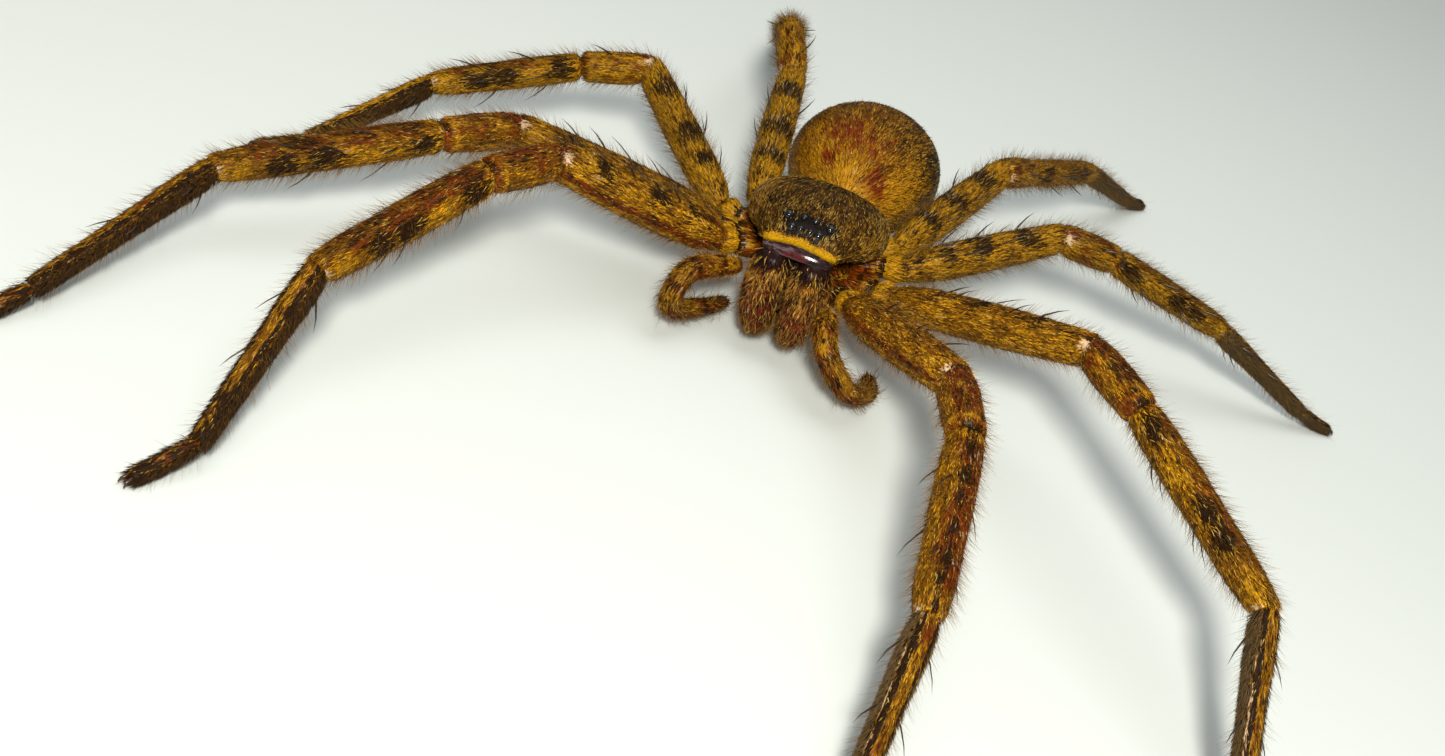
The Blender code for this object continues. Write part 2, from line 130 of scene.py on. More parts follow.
def easeThrough(knots, at):  # a smooth curve through pairs of place and value
    places, values = np.array(knots, float).T
    slopes = np.gradient(values, places)
    at = np.clip(at, places[0], places[-1])
    index = np.clip(np.searchsorted(places, at, side="right") - 1, 0, len(places) - 2)
    step = places[index + 1] - places[index]
    t = (at - places[index]) / step
    rise = values[index + 1] - values[index]
    curve = values[index] + t * t * (3 - 2 * t) * rise
    return curve + step * t * (1 - t) * ((1 - t) * slopes[index] - t * slopes[index + 1])


def swell(values, centre, half):
    return np.exp(-(((values - centre) / half) ** 2))


def ramp(values, low, high):
    t = np.clip((values - low) / (high - low), 0, 1)
    return t * t * (3 - 2 * t)


# Camera, floor and light

cameraView = {
    "azimuth": 5.74,
    "elevation": 33.36,
    "roll": 22.69,
    "place": (8.88, -108.84, 64.18),
    "focalPixels": 1728.4,
    "imageWidth": 1445,
    "sensor": 36,
}


def cameraAxes():
    a = math.radians(cameraView["azimuth"])
    e = math.radians(cameraView["elevation"])
    r = math.radians(cameraView["roll"])
    back = Vector((math.sin(a) * math.cos(e), -math.cos(a) * math.cos(e), math.sin(e)))
    right = Vector((math.cos(a), math.sin(a), 0))
    up = back.cross(right)
    return right * math.cos(r) + up * math.sin(r), up * math.cos(r) - right * math.sin(r), back


def addCamera():
    data = bpy.data.cameras.new("photoCamera")
    data.sensor_width = cameraView["sensor"]
    data.lens = cameraView["focalPixels"] / cameraView["imageWidth"] * cameraView["sensor"]
    data.clip_start = 0.005
    data.clip_end = 5
    camera = bpy.data.objects.new("photoCamera", data)
    turn = Matrix(cameraAxes()).transposed().to_4x4()
    camera.matrix_world = Matrix.Translation((Vector(cameraView["place"]) - poseShift) * mm) @ turn
    bpy.context.scene.collection.objects.link(camera)
    bpy.context.scene.camera = camera


lighting = {
    "keyPower": 1.05,  # watts
    "keySize": 45,  # millimetres
    "keyAside": (20, 24, 160),  # from the lens: right, up, back
    "topPower": 0.28,
    "topSize": 240,
    "worldStrength": 0.30,
    "worldColour": (0.96, 0.98, 0.96),
    "keyColour": (1.0, 0.95, 0.86),
}


def addArea(name, place, target, size, power, colour):
    data = bpy.data.lights.new(name, "AREA")
    data.shape = "DISK"
    data.size = size * mm
    data.energy = power
    data.color = colour
    light = bpy.data.objects.new(name, data)
    aim = (Vector(target) - Vector(place)).to_track_quat("-Z", "Y")
    light.matrix_world = Matrix.Translation(Vector(place) * mm) @ aim.to_matrix().to_4x4()
    bpy.context.scene.collection.objects.link(light)


def addLights():
    right, up, back = cameraAxes()
    aside = lighting["keyAside"]
    lens = Vector(cameraView["place"]) - poseShift
    key = lens + right * aside[0] + up * aside[1] + back * aside[2]
    addArea("keyLight", key, (0, 0, 3), lighting["keySize"], lighting["keyPower"], lighting["keyColour"])
    addArea("topLight", (10, 40, 260), (0, 0, 0), lighting["topSize"], lighting["topPower"], (1, 1, 1))
    world = bpy.data.worlds.new("studio")
    bpy.context.scene.world = world
    world.use_nodes = True
    sky = world.node_tree.nodes["Background"]
    sky.inputs["Color"].default_value = (*lighting["worldColour"], 1)
    sky.inputs["Strength"].default_value = lighting["worldStrength"]
    bpy.context.scene.view_settings.view_transform = "Standard"


# Shader helpers

def addNode(tree, kind, **values):
    node = tree.nodes.new("ShaderNode" + kind)
    for name, value in values.items():
        setattr(node, name, value)
    return node


def joinSockets(tree, *pairs):
    for source, target in pairs:
        tree.links.new(source, target)


def attributeNode(tree, name):
    return addNode(tree, "Attribute", attribute_name=name)


def mathNode(tree, operation, first, second=None, third=None, clamp=False):
    node = addNode(tree, "Math", operation=operation, use_clamp=clamp)
    for socket, value in zip(node.inputs, (first, second, third)):
        if isinstance(value, (int, float)):
            socket.default_value = value
        elif value is not None:
            tree.links.new(value, socket)
    return node.outputs[0]


def mixColours(tree, factor, first, second, blend="MIX"):
    node = addNode(tree, "Mix", data_type="RGBA", blend_type=blend)
    for socket, value in zip((node.inputs[0], node.inputs[6], node.inputs[7]), (factor, first, second)):
        if isinstance(value, (int, float)):
            socket.default_value = value
        elif isinstance(value, tuple):
            socket.default_value = (*value, 1)
        else:
            tree.links.new(value, socket)
    return node.outputs[2]


def noiseNode(tree, vector, scale, detail, stretch=(1, 1, 1)):
    mapping = addNode(tree, "Mapping")
    mapping.inputs["Scale"].default_value = stretch
    noise = addNode(tree, "TexNoise")
    noise.inputs["Scale"].default_value = scale
    noise.inputs["Detail"].default_value = detail
    joinSockets(tree, (vector, mapping.inputs["Vector"]), (mapping.outputs[0], noise.inputs["Vector"]))
    return noise.outputs["Fac"]


def newMaterial(name, roughness=0.5, shine=0.5):
    material = bpy.data.materials.new(name)
    material.use_nodes = True
    shader = material.node_tree.nodes["Principled BSDF"]
    shader.inputs["Roughness"].default_value = roughness
    shader.inputs["Specular IOR Level"].default_value = shine
    return material, material.node_tree, shader


def bumpNode(tree, height, strength, distance):
    node = addNode(tree, "Bump")
    node.inputs["Strength"].default_value = strength
    node.inputs["Distance"].default_value = distance
    tree.links.new(height, node.inputs["Height"])
    return node.outputs["Normal"]


pelt = {  # linear colours of the whole animal
    "gold": (0.60, 0.290, 0.005),
    "ochre": (0.22, 0.086, 0.002),
    "rust": (0.19, 0.036, 0.001),
    "dark": (0.024, 0.009, 0.001),
    "pale": (0.50, 0.36, 0.22),
}


def marblingGroup():
    # Reads flow, which is each piece straightened out in millimetres, and markings:
    # red is the dark blotches, green the rust, blue the pale skin and a few painted highlights, alpha the
    # gold
    tree = bpy.data.node_groups.new("peltMarbling", "ShaderNodeTree")
    for name in ("Gold", "Ochre", "Rust", "Dark", "Pale"):
        tree.interface.new_socket(name, in_out="INPUT", socket_type="NodeSocketColor")
    for name in ("Tone", "Break"):
        tree.interface.new_socket(name, in_out="INPUT", socket_type="NodeSocketFloat")
    tree.interface.new_socket("Color", in_out="OUTPUT", socket_type="NodeSocketColor")
    tree.interface.new_socket("Height", in_out="OUTPUT", socket_type="NodeSocketFloat")
    given = tree.nodes.new("NodeGroupInput")
    result = tree.nodes.new("NodeGroupOutput")
    flow = attributeNode(tree, "flow").outputs["Vector"]
    marks = attributeNode(tree, "markings")
    split = addNode(tree, "SeparateColor")
    tree.links.new(marks.outputs["Color"], split.inputs[0])
    patches = noiseNode(tree, flow, 0.9, 3, (0.7, 1, 1))
    clouds = noiseNode(tree, flow, 1.3, 2, (0.6, 1.3, 1.3))
    streaks = noiseNode(tree, flow, 3.4, 3, (0.42, 1.9, 1.9))
    grain = noiseNode(tree, flow, 9, 2, (0.5, 1.6, 1.6))
    loose = mathNode(tree, "MULTIPLY_ADD", streaks, 3.2, mathNode(tree, "MULTIPLY_ADD", patches, 1.4, -2.5))
    loose = mathNode(tree, "MULTIPLY_ADD", given.outputs["Tone"], 0.4, loose)
    loose = mathNode(tree, "MULTIPLY", loose, given.outputs["Break"])
    clouds = mathNode(tree, "MULTIPLY", mathNode(tree, "SUBTRACT", clouds, 0.5), given.outputs["Break"])

    def broken(mask, noise, weight, limit, sharp):  # the mask with its edges broken up by the noise
        raised = mathNode(tree, "SUBTRACT", mathNode(tree, "MULTIPLY_ADD", noise, weight, mask), limit)
        return mathNode(tree, "MULTIPLY", raised, sharp, clamp=True)

    layers = (
        ("Gold", marks.outputs["Alpha"], loose, 1.0, 0.35, 2.6),
        ("Rust", split.outputs[1], clouds, 2.0, 0.5, 2.2),
        ("Dark", split.outputs[0], loose, -1.0, 0.5, 3.4),
        ("Pale", split.outputs[2], loose, 1.0, 0.6, 3.0),
    )
    colour = given.outputs["Ochre"]
    for name, mask, noise, weight, limit, sharp in layers:
        colour = mixColours(tree, broken(mask, noise, weight, limit, sharp), colour, given.outputs[name])
    shade = mathNode(tree, "MULTIPLY_ADD", grain, 2.4, -0.2)
    colour = mixColours(tree, 1.0, colour, shade, "MULTIPLY")
    coarse = mathNode(tree, "MULTIPLY", streaks, 0.6)
    height = mathNode(tree, "ADD", coarse, mathNode(tree, "MULTIPLY", grain, 0.4))
    joinSockets(tree, (colour, result.inputs["Color"]), (height, result.inputs["Height"]))


def placeMarbling(tree, colours, ragged):
    node = addNode(tree, "Group", node_tree=bpy.data.node_groups["peltMarbling"])
    for name, colour in colours.items():
        node.inputs[name.capitalize()].default_value = (*colour, 1)
    node.inputs["Tone"].default_value = 0.5
    node.inputs["Break"].default_value = ragged  # how much the noise breaks up the markings
    return node


def skinMaterial(name, colours=None, roughness=(0.6, 0.16), bump=0.35, shine=0.12, ragged=1.0):
    material, tree, shader = newMaterial(name, shine=shine)
    marbling = placeMarbling(tree, {**pelt, **(colours or {})}, ragged)
    bare = attributeNode(tree, "bare").outputs["Fac"]
    shade = mathNode(tree, "MULTIPLY_ADD", bare, 0.5, 0.5)  # painted shade: darker where hair stands over the skin and shades it
    colour = mixColours(tree, 1.0, marbling.outputs["Color"], shade, "MULTIPLY")
    gloss = addNode(tree, "MapRange")
    gloss.inputs["To Min"].default_value = roughness[0]
    gloss.inputs["To Max"].default_value = roughness[1]
    joinSockets(
        tree,
        (colour, shader.inputs["Base Color"]),
        (bare, gloss.inputs["Value"]),
        (gloss.outputs[0], shader.inputs["Roughness"]),
        (bumpNode(tree, marbling.outputs["Height"], bump, 0.00012), shader.inputs["Normal"]),
    )
    return material


def coatMaterial(name, colours=None, darkShare=0.4, paleShare=0.08, ragged=1.0):
    material, tree, shader = newMaterial(name, 0.5, 0.05)
    chosen = {**pelt, **(colours or {})}
    marbling = placeMarbling(tree, chosen, ragged)
    tone = attributeNode(tree, "tone").outputs["Fac"]
    tip = attributeNode(tree, "tip").outputs["Fac"]
    # painted shade and light: each strand darker at its root, where the coat shades it, and lighter towards
    # its tip
    rootShadeTipLight = mathNode(tree, "MULTIPLY_ADD", tip, 1.5, 0.42)
    colour = mixColours(tree, 1.0, marbling.outputs["Color"], rootShadeTipLight, "MULTIPLY")
    darker = mathNode(tree, "MULTIPLY", mathNode(tree, "LESS_THAN", tone, darkShare), 0.8)
    colour = mixColours(tree, darker, colour, chosen["dark"])
    paler = mathNode(tree, "MULTIPLY", mathNode(tree, "GREATER_THAN", tone, 1 - paleShare), 0.7)
    colour = mixColours(tree, paler, colour, (0.70, 0.47, 0.08))
    joinSockets(tree, (tone, marbling.inputs["Tone"]), (colour, shader.inputs["Base Color"]))
    return material


def plainHairMaterial(name, rootColour, tipColour, roughness=0.5):
    material, tree, shader = newMaterial(name, roughness, 0.06)
    tip = attributeNode(tree, "tip").outputs["Fac"]
    tone = attributeNode(tree, "tone").outputs["Fac"]
    colour = mixColours(tree, tip, rootColour, tipColour)
    shade = mathNode(tree, "ADD", mathNode(tree, "MULTIPLY", tone, 0.7), 0.6)
    colour = mixColours(tree, 1.0, colour, shade, "MULTIPLY")
    tree.links.new(colour, shader.inputs["Base Color"])
    return material


def hornMaterial(name, dark, light, roughness, coat=0.0, shine=0.5):
    material, tree, shader = newMaterial(name, roughness, shine)
    place = addNode(tree, "TexCoord").outputs["Object"]
    mottle = noiseNode(tree, place, 900, 3)
    colour = mixColours(tree, mottle, dark, light)
    shader.inputs["Coat Weight"].default_value = coat
    shader.inputs["Coat Roughness"].default_value = 0.04
    joinSockets(
        tree,
        (colour, shader.inputs["Base Color"]),
        (bumpNode(tree, mottle, 0.06, 0.00005), shader.inputs["Normal"]),
    )
    return material


def floorMaterial():
    material, tree, shader = newMaterial("paleFloor", 0.55)
    place = addNode(tree, "TexCoord").outputs["Object"]
    cloud = noiseNode(tree, place, 9, 3)
    grain = noiseNode(tree, place, 1400, 2)
    colour = mixColours(tree, cloud, (0.61, 0.66, 0.64), (0.66, 0.70, 0.68))
    joinSockets(
        tree,
        (colour, shader.inputs["Base Color"]),
        (bumpNode(tree, grain, 0.08, 0.0001), shader.inputs["Normal"]),
    )
    return material


def addFloor():
    bm = bmesh.new()
    bmesh.ops.create_grid(bm, x_segments=2, y_segments=2, size=1.5)
    floor = objectFrom(bm, "floor", floorMaterial(), recalc=False)


# Mesh helpers

pointKinds = {1: ("FLOAT", "value"), 3: ("FLOAT_VECTOR", "vector"), 4: ("FLOAT_COLOR", "color")}


def addObject(name, mesh, material):
    mesh.materials.append(material)
    obj = bpy.data.objects.new(name, mesh)
    bpy.context.scene.collection.objects.link(obj)
    return obj


def objectFrom(bm, name, material, recalc=True):
    if recalc:
        bmesh.ops.recalc_face_normals(bm, faces=bm.faces)
    mesh = bpy.data.meshes.new(name)
    bm.to_mesh(mesh)
    bm.free()
    mesh.shade_smooth()
    return addObject(name, mesh, material)


def setPoints(mesh, name, values):  # a value at each point: numbers, vectors or colours
    values = np.asarray(values, np.float32)
    kind, field = pointKinds[1 if values.ndim == 1 else values.shape[1]]
    mesh.attributes.new(name, kind, "POINT").data.foreach_set(field, values.ravel())


def readPoints(data, field, width):
    values = np.empty(len(data) * width, np.float32)
    data.foreach_get(field, values)
    return values.reshape(-1, width).astype(float)


def getPoints(mesh, name):
    attribute = mesh.attributes[name]
    for width, (kind, field) in pointKinds.items():
        if kind == attribute.data_type:
            return readPoints(attribute.data, field, width)


def circleAngles(sides):  # as create_circle orders its points
    bm = bmesh.new()
    made = bmesh.ops.create_circle(bm, segments=sides, radius=1)
    angles = np.array([math.atan2(vert.co.y, vert.co.x) for vert in made["verts"]])
    bm.free()
    return angles


def asIs(points):
    return points


def loftSkin(name, rings, material, space=toModel):
    # Joins rings of points, in millimetres, into one closed skin
    bm = bmesh.new()
    loops = []
    for ring in rings:
        made = bmesh.ops.create_circle(bm, segments=len(ring), radius=1)
        for vert, point in zip(made["verts"], space(ring)):
            vert.co = Vector(point) * mm
        loops.append(list(dict.fromkeys(edge for vert in made["verts"] for edge in vert.link_edges)))
    for near, far in zip(loops, loops[1:]):
        bmesh.ops.bridge_loops(bm, edges=near + far)
    for end in (loops[0], loops[-1]):
        bmesh.ops.contextual_create(bm, geom=end)
    return objectFrom(bm, name, material)


def ringAround(centre, side, up, halfWidth, halfHeight, angles, lean=None, axis=None):
    offset = np.outer(np.cos(angles), side) * halfWidth + np.outer(np.sin(angles), up) * halfHeight
    if lean is not None:
        offset = offset - np.outer(offset @ lean / np.dot(axis, lean), axis)
    return centre + offset


def unwrapRound(angles, along):  # around first, then along
    return np.column_stack((np.tile((angles / math.tau) % 1, len(along)), np.repeat(along, len(angles))))


def straighten(angles, along, half):
    # The flow of a tube's points, which is the tube straightened out, and their unwrap
    angle = np.tile(angles, len(along))
    along = np.repeat(along, len(angles))
    half = np.repeat(half, len(angles))
    flow = np.column_stack((along, np.cos(angle) * half, np.sin(angle) * half))
    return flow, np.column_stack((along / along[-1], (angle / math.tau) % 1))


def dress(skin, flow, lie, marks, bare, unwrap):
    # Marks are dark, rust, pale and gold; each of them, and bare, is one number or one for each point
    mesh = skin.data
    count = len(mesh.vertices)
    marks = np.column_stack([np.broadcast_to(part, count) for part in marks])
    setPoints(mesh, "flow", flow)
    setPoints(mesh, "lie", np.broadcast_to(lie, (count, 3)))
    setPoints(mesh, "markings", np.clip(marks, 0, 1.6))
    setPoints(mesh, "bare", np.clip(np.broadcast_to(bare, count), 0, 1))
    setPoints(mesh, "unwrap", np.column_stack((unwrap, np.zeros(count))))


def finishPiece(piece, slot, *nodes):
    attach(piece, "root")
    if nodes:
        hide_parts(*nodes)


# Hair and spines

plainStrand = {  # what a strand is like where its own dictionary doesn't say
    "sides": 3,
    "sections": ((0, 1.0),),  # share of the length, and of the width there
    "vary": 0.35,  # of the length
    "liftVary": 8,  # degrees
    "sink": 0.03,  # how deep its root is
    "bend": 0.3,
    "flat": 0.6,
    "patch": 0.003,  # its size in the bake
}
bentSections = ((0, 1.0), (0.55, 0.75))


def scatter(skin, count, draw, weights=None):
    mesh = skin.data
    mesh.calc_loop_triangles()
    corners = np.empty(len(mesh.loop_triangles) * 3, np.int32)
    mesh.loop_triangles.foreach_get("vertices", corners)
    corners = corners.reshape(-1, 3)
    places = readPoints(mesh.vertices, "co", 3) / mm
    sides = places[corners]
    area = np.linalg.norm(np.cross(sides[:, 1] - sides[:, 0], sides[:, 2] - sides[:, 0]), axis=1)
    cover = 1 - getPoints(mesh, "bare")[:, 0]
    if weights is not None:
        cover = cover * weights
    share = area * cover[corners].mean(axis=1)
    picks = draw.choice(len(share), size=count, p=share / share.sum())
    u, v = draw.random((2, count))
    over = u + v > 1
    u[over], v[over] = 1 - u[over], 1 - v[over]
    mix = np.column_stack((1 - u - v, u, v))[..., None]
    chosen = corners[picks]

    def blend(values):
        return (values[chosen] * mix).sum(axis=1)

    found = {name: blend(getPoints(mesh, name)) for name in ("flow", "lie", "markings", "unwrap")}
    found["place"] = blend(places)
    found["normal"] = unit(blend(readPoints(mesh.vertices, "normal", 3)))
    return found


def strandPoints(roots, draw, hair):
    # The points of all strands, and how near the tip each point of a strand is
    count = len(roots["place"])
    length = hair["length"] * draw.uniform(1 - hair["vary"], 1 + hair["vary"], count) * roots.get("scale", 1)
    width = hair["width"] * draw.uniform(0.8, 1.2, count)
    lift = np.radians(np.clip(draw.normal(hair["lift"], hair["liftVary"], count), 2, 88))
    turn = np.radians(draw.normal(0, hair["turn"], count))
    normal = roots["normal"]
    along = unit(roots["lie"] - normal * (roots["lie"] * normal).sum(axis=1, keepdims=True))
    along = along * np.cos(turn)[:, None] + np.cross(normal, along) * np.sin(turn)[:, None]
    aside = np.cross(normal, along)
    base = roots["place"] - normal * hair["sink"]
    shares = [share for share, _ in hair["sections"]] + [1.0]
    spine = []
    for share in shares:
        angle = lift * (1 - hair["bend"] * share)
        step = along * np.cos(angle)[:, None] + normal * np.sin(angle)[:, None]
        spine.append(base + step * (length * share)[:, None])
    sides = hair["sides"]
    around = math.tau * (np.arange(sides) + (0.75 if sides == 3 else 0.5)) / sides
    points = []
    for level, (_, size) in enumerate(hair["sections"]):
        up = unit(np.cross(aside, spine[level + 1] - spine[level]))
        half = (width * size / 2)[:, None]
        for angle in around:
            across = aside * half * math.cos(angle)
            points.append(spine[level] + across + up * half * hair["flat"] * math.sin(angle))
    tips = np.repeat(shares, [sides] * len(hair["sections"]) + [1])
    return np.stack(points + [spine[-1]], axis=1), tips


def strandFaces(sides, levels, points):
    # One strand's foot, sides and tip, turned outwards
    faces = [tuple(range(sides))]
    for level in range(levels):
        low = level * sides
        for one in range(sides):
            two = (one + 1) % sides
            if level < levels - 1:
                faces.append((low + one, low + sides + one, low + sides + two, low + two))
            else:
                faces.append((low + one, levels * sides, low + two))
    spokes = points - points[0]
    held = 0
    for face in faces:
        for one, two in zip(face[1:-1], face[2:]):
            held += np.dot(spokes[face[0]], np.cross(spokes[one], spokes[two]))
    return [face[::-1] for face in faces] if held < 0 else faces


def strandMesh(name, roots, draw, hair, material):
    # One closed tapered strand for each root
    hair = {**plainStrand, **hair}
    points, tips = strandPoints(roots, draw, hair)
    count, perStrand = points.shape[:2]
    faces = strandFaces(hair["sides"], len(hair["sections"]), points[0])
    loops = (np.concatenate(faces) + np.arange(count)[:, None] * perStrand).ravel()
    corners = np.tile([len(face) for face in faces], count)
    mesh = bpy.data.meshes.new(name)
    mesh.vertices.add(count * perStrand)
    mesh.vertices.foreach_set("co", (points * mm).astype(np.float32).ravel())
    mesh.loops.add(len(loops))
    mesh.loops.foreach_set("vertex_index", loops.astype(np.int32))
    mesh.polygons.add(len(corners))
    mesh.polygons.foreach_set("loop_start", (np.cumsum(corners) - corners).astype(np.int32))
    mesh.update(calc_edges=True)
    setPoints(mesh, "flow", np.repeat(roots["flow"], perStrand, axis=0))
    setPoints(mesh, "markings", np.repeat(roots["markings"], perStrand, axis=0))
    setPoints(mesh, "tone", np.repeat(draw.random(count), perStrand))
    setPoints(mesh, "tip", np.tile(tips, count))
    # Each strand has a patch of the bake at its root's place on the skin
    spot = np.repeat(roots["unwrap"][:, :2], perStrand, axis=0)
    spot[:, 0] += np.tile(np.linspace(-0.5, 0.5, perStrand), count) * hair["patch"]
    spot[:, 1] += np.tile(tips, count) * hair["patch"]
    uv = mesh.uv_layers.new(name="OFBake")
    uv.data.foreach_set("uv", np.clip(spot, 0, 1)[loops].astype(np.float32).ravel())
    return addObject(name, mesh, material)


def growHair(skin, name, slot, draw, hair, material, weights=None):
    strands = strandMesh(name, scatter(skin, hair["count"], draw, weights), draw, hair, material)
    finishPiece(strands, slot)
    return strands


# Legs

legSkin = {
    "sides": 30,
    "step": 0.24,  # between rings along the leg
    "coxaStep": 0.192,
    "inset": 0.95,  # the skin lies this far in, under its hair
    "grooveDepth": 0.16,  # of the folds at the joints
    "grooveHalf": 0.13,
    "kneeDeeper": 1.7,  # how much deeper the fold of the knee is
    "femurRootHalf": 0.82,
    "toeLift": 0.12,
}
coxaShape = {
    "root": (0, -0.2, -0.9),  # where the coxae meet; its height is counted from the hip
    "trochanter": 1.6,  # the length that isn't coxa
    "flatness": (0.9, 0.97),  # of the coxa and the trochanter
    "turnOver": 1.1,  # the last stretch, where the rings turn towards the femur
    # Distance back from the hip and half width, after the first two at the whole and 0.6 of the coxa
    "outline": ((2.3, 1.06), (1.72, 0.98), (1.5, 0.76), (1.3, 0.86), (0.95, 1.02), (0.55, 1.04), (0.25, 0.94),
                (0, 0.86)),
}
legOutlines = {  # share of the segment's length, and of its full width there
    "femur": ((0, 0.6), (0.07, 0.78), (0.18, 0.94), (0.4, 1.0), (0.65, 0.98), (0.86, 0.9), (0.95, 0.86),
              (1, 0.78)),
    "patella": ((0, 0.8), (0.12, 0.92), (0.45, 1.0), (0.82, 0.95), (0.95, 0.92), (1, 0.84)),
    "tibia": ((0, 0.9), (0.07, 0.98), (0.25, 1.05), (0.6, 1.0), (0.92, 0.88), (1, 0.74)),
    "metatarsus": ((0, 1.0), (0.08, 1.1), (0.4, 1.0), (0.85, 0.86), (0.96, 0.82), (1, 0.74)),
    "tarsus": ((0, 0.84), (0.15, 0.98), (0.7, 1.0), (0.9, 0.95), (0.97, 0.75), (1, 0.3)),
}
# Dark blotches: share of the length, half length, angle from the back, half angle, strength
legBlotches = {
    "femur": ((0.10, 0.7, 30, 55, 0.7), (0.25, 0.9, 28, 58, 1.3), (0.48, 1.05, 24, 60, 1.5),
              (0.77, 1.1, 26, 62, 1.4)),
    "patella": ((0.12, 0.6, 0, 60, 0.7), (0.6, 1.5, 30, 24, 0.6)),
    "tibia": ((0.12, 1.3, 84, 50, 1.7), (0.12, 0.9, 0, 60, 0.85), (0.54, 1.4, 80, 46, 1.8),
              (0.71, 1.3, 86, 46, 1.8), (0.62, 1.6, 0, 60, 0.85)),
    "metatarsus": ((0.1, 1.0, 0, 40, 0.6), (0.8, 1.8, 0, 70, 0.7)),
    "tarsus": ((0.5, 4.0, 0, 180, 0.7),),
}
# How much yellower and redder a leg is than the rest, how red its blotches are, and their turn in degrees
legTints = {
    ("left", 1): (-0.02, 0.12, 0.8, -35),
    ("left", 2): (-0.02, 0.06, 0.1, 0),
    ("left", 3): (0.22, 0.0, 0.0, 20),
    ("left", 4): (0.36, 0.0, 0.0, 0),
    ("right", 1): (-0.04, 0.1, 0.1, 35),
    ("right", 2): (-0.06, 0.05, 0.05, 55),
    ("right", 3): (0.40, 0.0, 0.0, 55),
    ("right", 4): (0.60, 0.0, 0.0, 0),
}
legStarts = {  # of the noise and of the random draws; the leg's number is added to the draws
    "left": {"flow": 170, "marks": 410, "hair": 20},
    "right": {"flow": 0, "marks": 400, "hair": 50},
}
legHair = {
    "close": {"count": 18000, "length": 0.55, "width": 0.085, "lift": 10, "liftVary": 5, "turn": 13,
              "flat": 0.5, "bend": 0.25},
    "fringe": {"count": 5000, "length": 1.15, "vary": 0.4, "width": 0.022, "lift": 62, "liftVary": 12,
               "turn": 24, "flat": 1.0},
    "brush": {"count": 7500, "length": 0.62, "vary": 0.2, "width": 0.06, "lift": 44, "liftVary": 7,
              "turn": 10, "bend": 0.5, "flat": 0.9},
    "tufts": {"count": 64, "length": 0.6, "vary": 0.3, "width": 0.055, "lift": 12, "liftVary": 4, "turn": 9,
              "flat": 0.5, "sections": ((0, 1.0), (0.55, 0.85)), "sink": 0.0},
}
closeLengths = (0.95, 0.85, 1.05, 0.85, 0.65)  # of the close hair, from femur to tarsus


def planLeg(side, number):
    # The joints from hip to toe, and each segment's heading and back
    bearings, rises = legAngles[side][number]
    hip = hips[side][number]
    joints = [toModel(hip)]
    headings = []
    for index, length in enumerate(legLengths[number]):
        if index < 3:
            rise = rises[index]
        else:
            aim = stanceOf["ankleHeight"] if index == 3 else stanceOf["toeHeight"]
            rise = math.degrees(math.asin((aim - joints[-1][2]) / length))
        headings.append(heading(bearings[index], rise))
        joints.append(joints[-1] + headings[-1] * length)
    knee = headings[0] - headings[2]
    upright = np.array((0, 0, 1.0))
    backs = [knee, knee, knee, unit(knee) + upright, upright]
    across, behind, below = coxaShape["root"]
    return {
        "name": f"{side}_leg_{number}",
        "side": side,
        "number": number,
        "lengths": legLengths[number],
        "widths": legWidths[number],
        "joints": joints,
        "headings": headings,
        "backs": [squareTo(back, way) for back, way in zip(backs, headings)],
        "coxa": joints[0] - toModel((across, behind, hip[2] + below)),
        "angles": circleAngles(legSkin["sides"]),
    }


def toJoint(index, d, length):  # how far the nearest fold is; the leg's two ends have none
    return np.minimum(d if index else np.inf, length - d if index < 4 else np.inf)


def legRing(points, along, half, way, segment, distance):
    return {"points": points, "along": along, "half": half, "way": way,
            "segment": segment, "distance": distance}


def coxaRings(leg):
    # Coxa and trochanter, with distances counted back from the hip
    way = unit(leg["coxa"])
    up = squareTo(np.array((0, 0, 1.0)), way)
    across = np.cross(up, way)
    length = np.linalg.norm(leg["coxa"]) - coxaShape["trochanter"]
    outline = ((length, 0.85), (length * 0.6, 1.06), *coxaShape["outline"])
    knots = [(-back, half) for back, half in outline]
    hipPlane = unit(way + leg["headings"][0])
    rings = []
    for k, back in enumerate(np.arange(length, 0.05, -legSkin["coxaStep"])):
        half = float(easeThrough(knots, -back)) * legSkin["inset"]
        weight = max(0, 1 - back / coxaShape["turnOver"])
        lean = unit(way * (1 - weight) + hipPlane * weight)
        flat = coxaShape["flatness"][0 if back > coxaShape["trochanter"] else 1]
        centre = leg["joints"][0] - way * back
        points = ringAround(centre, across, up, half, half * flat, leg["angles"], lean, way)
        rings.append(legRing(points, k * legSkin["coxaStep"], half, way, -1, -back))
    return rings


def ringDistances(length):
    # Even steps, with rings close together in the fold at each end
    count = int(length / legSkin["step"])
    folds = [legSkin["grooveHalf"] * part for part in (0.4, 0.9, 1.5)]
    even = [length * k / count for k in range(count + 1)]
    return sorted(d for d in even + folds + [length - d for d in folds] if d > 0.02)


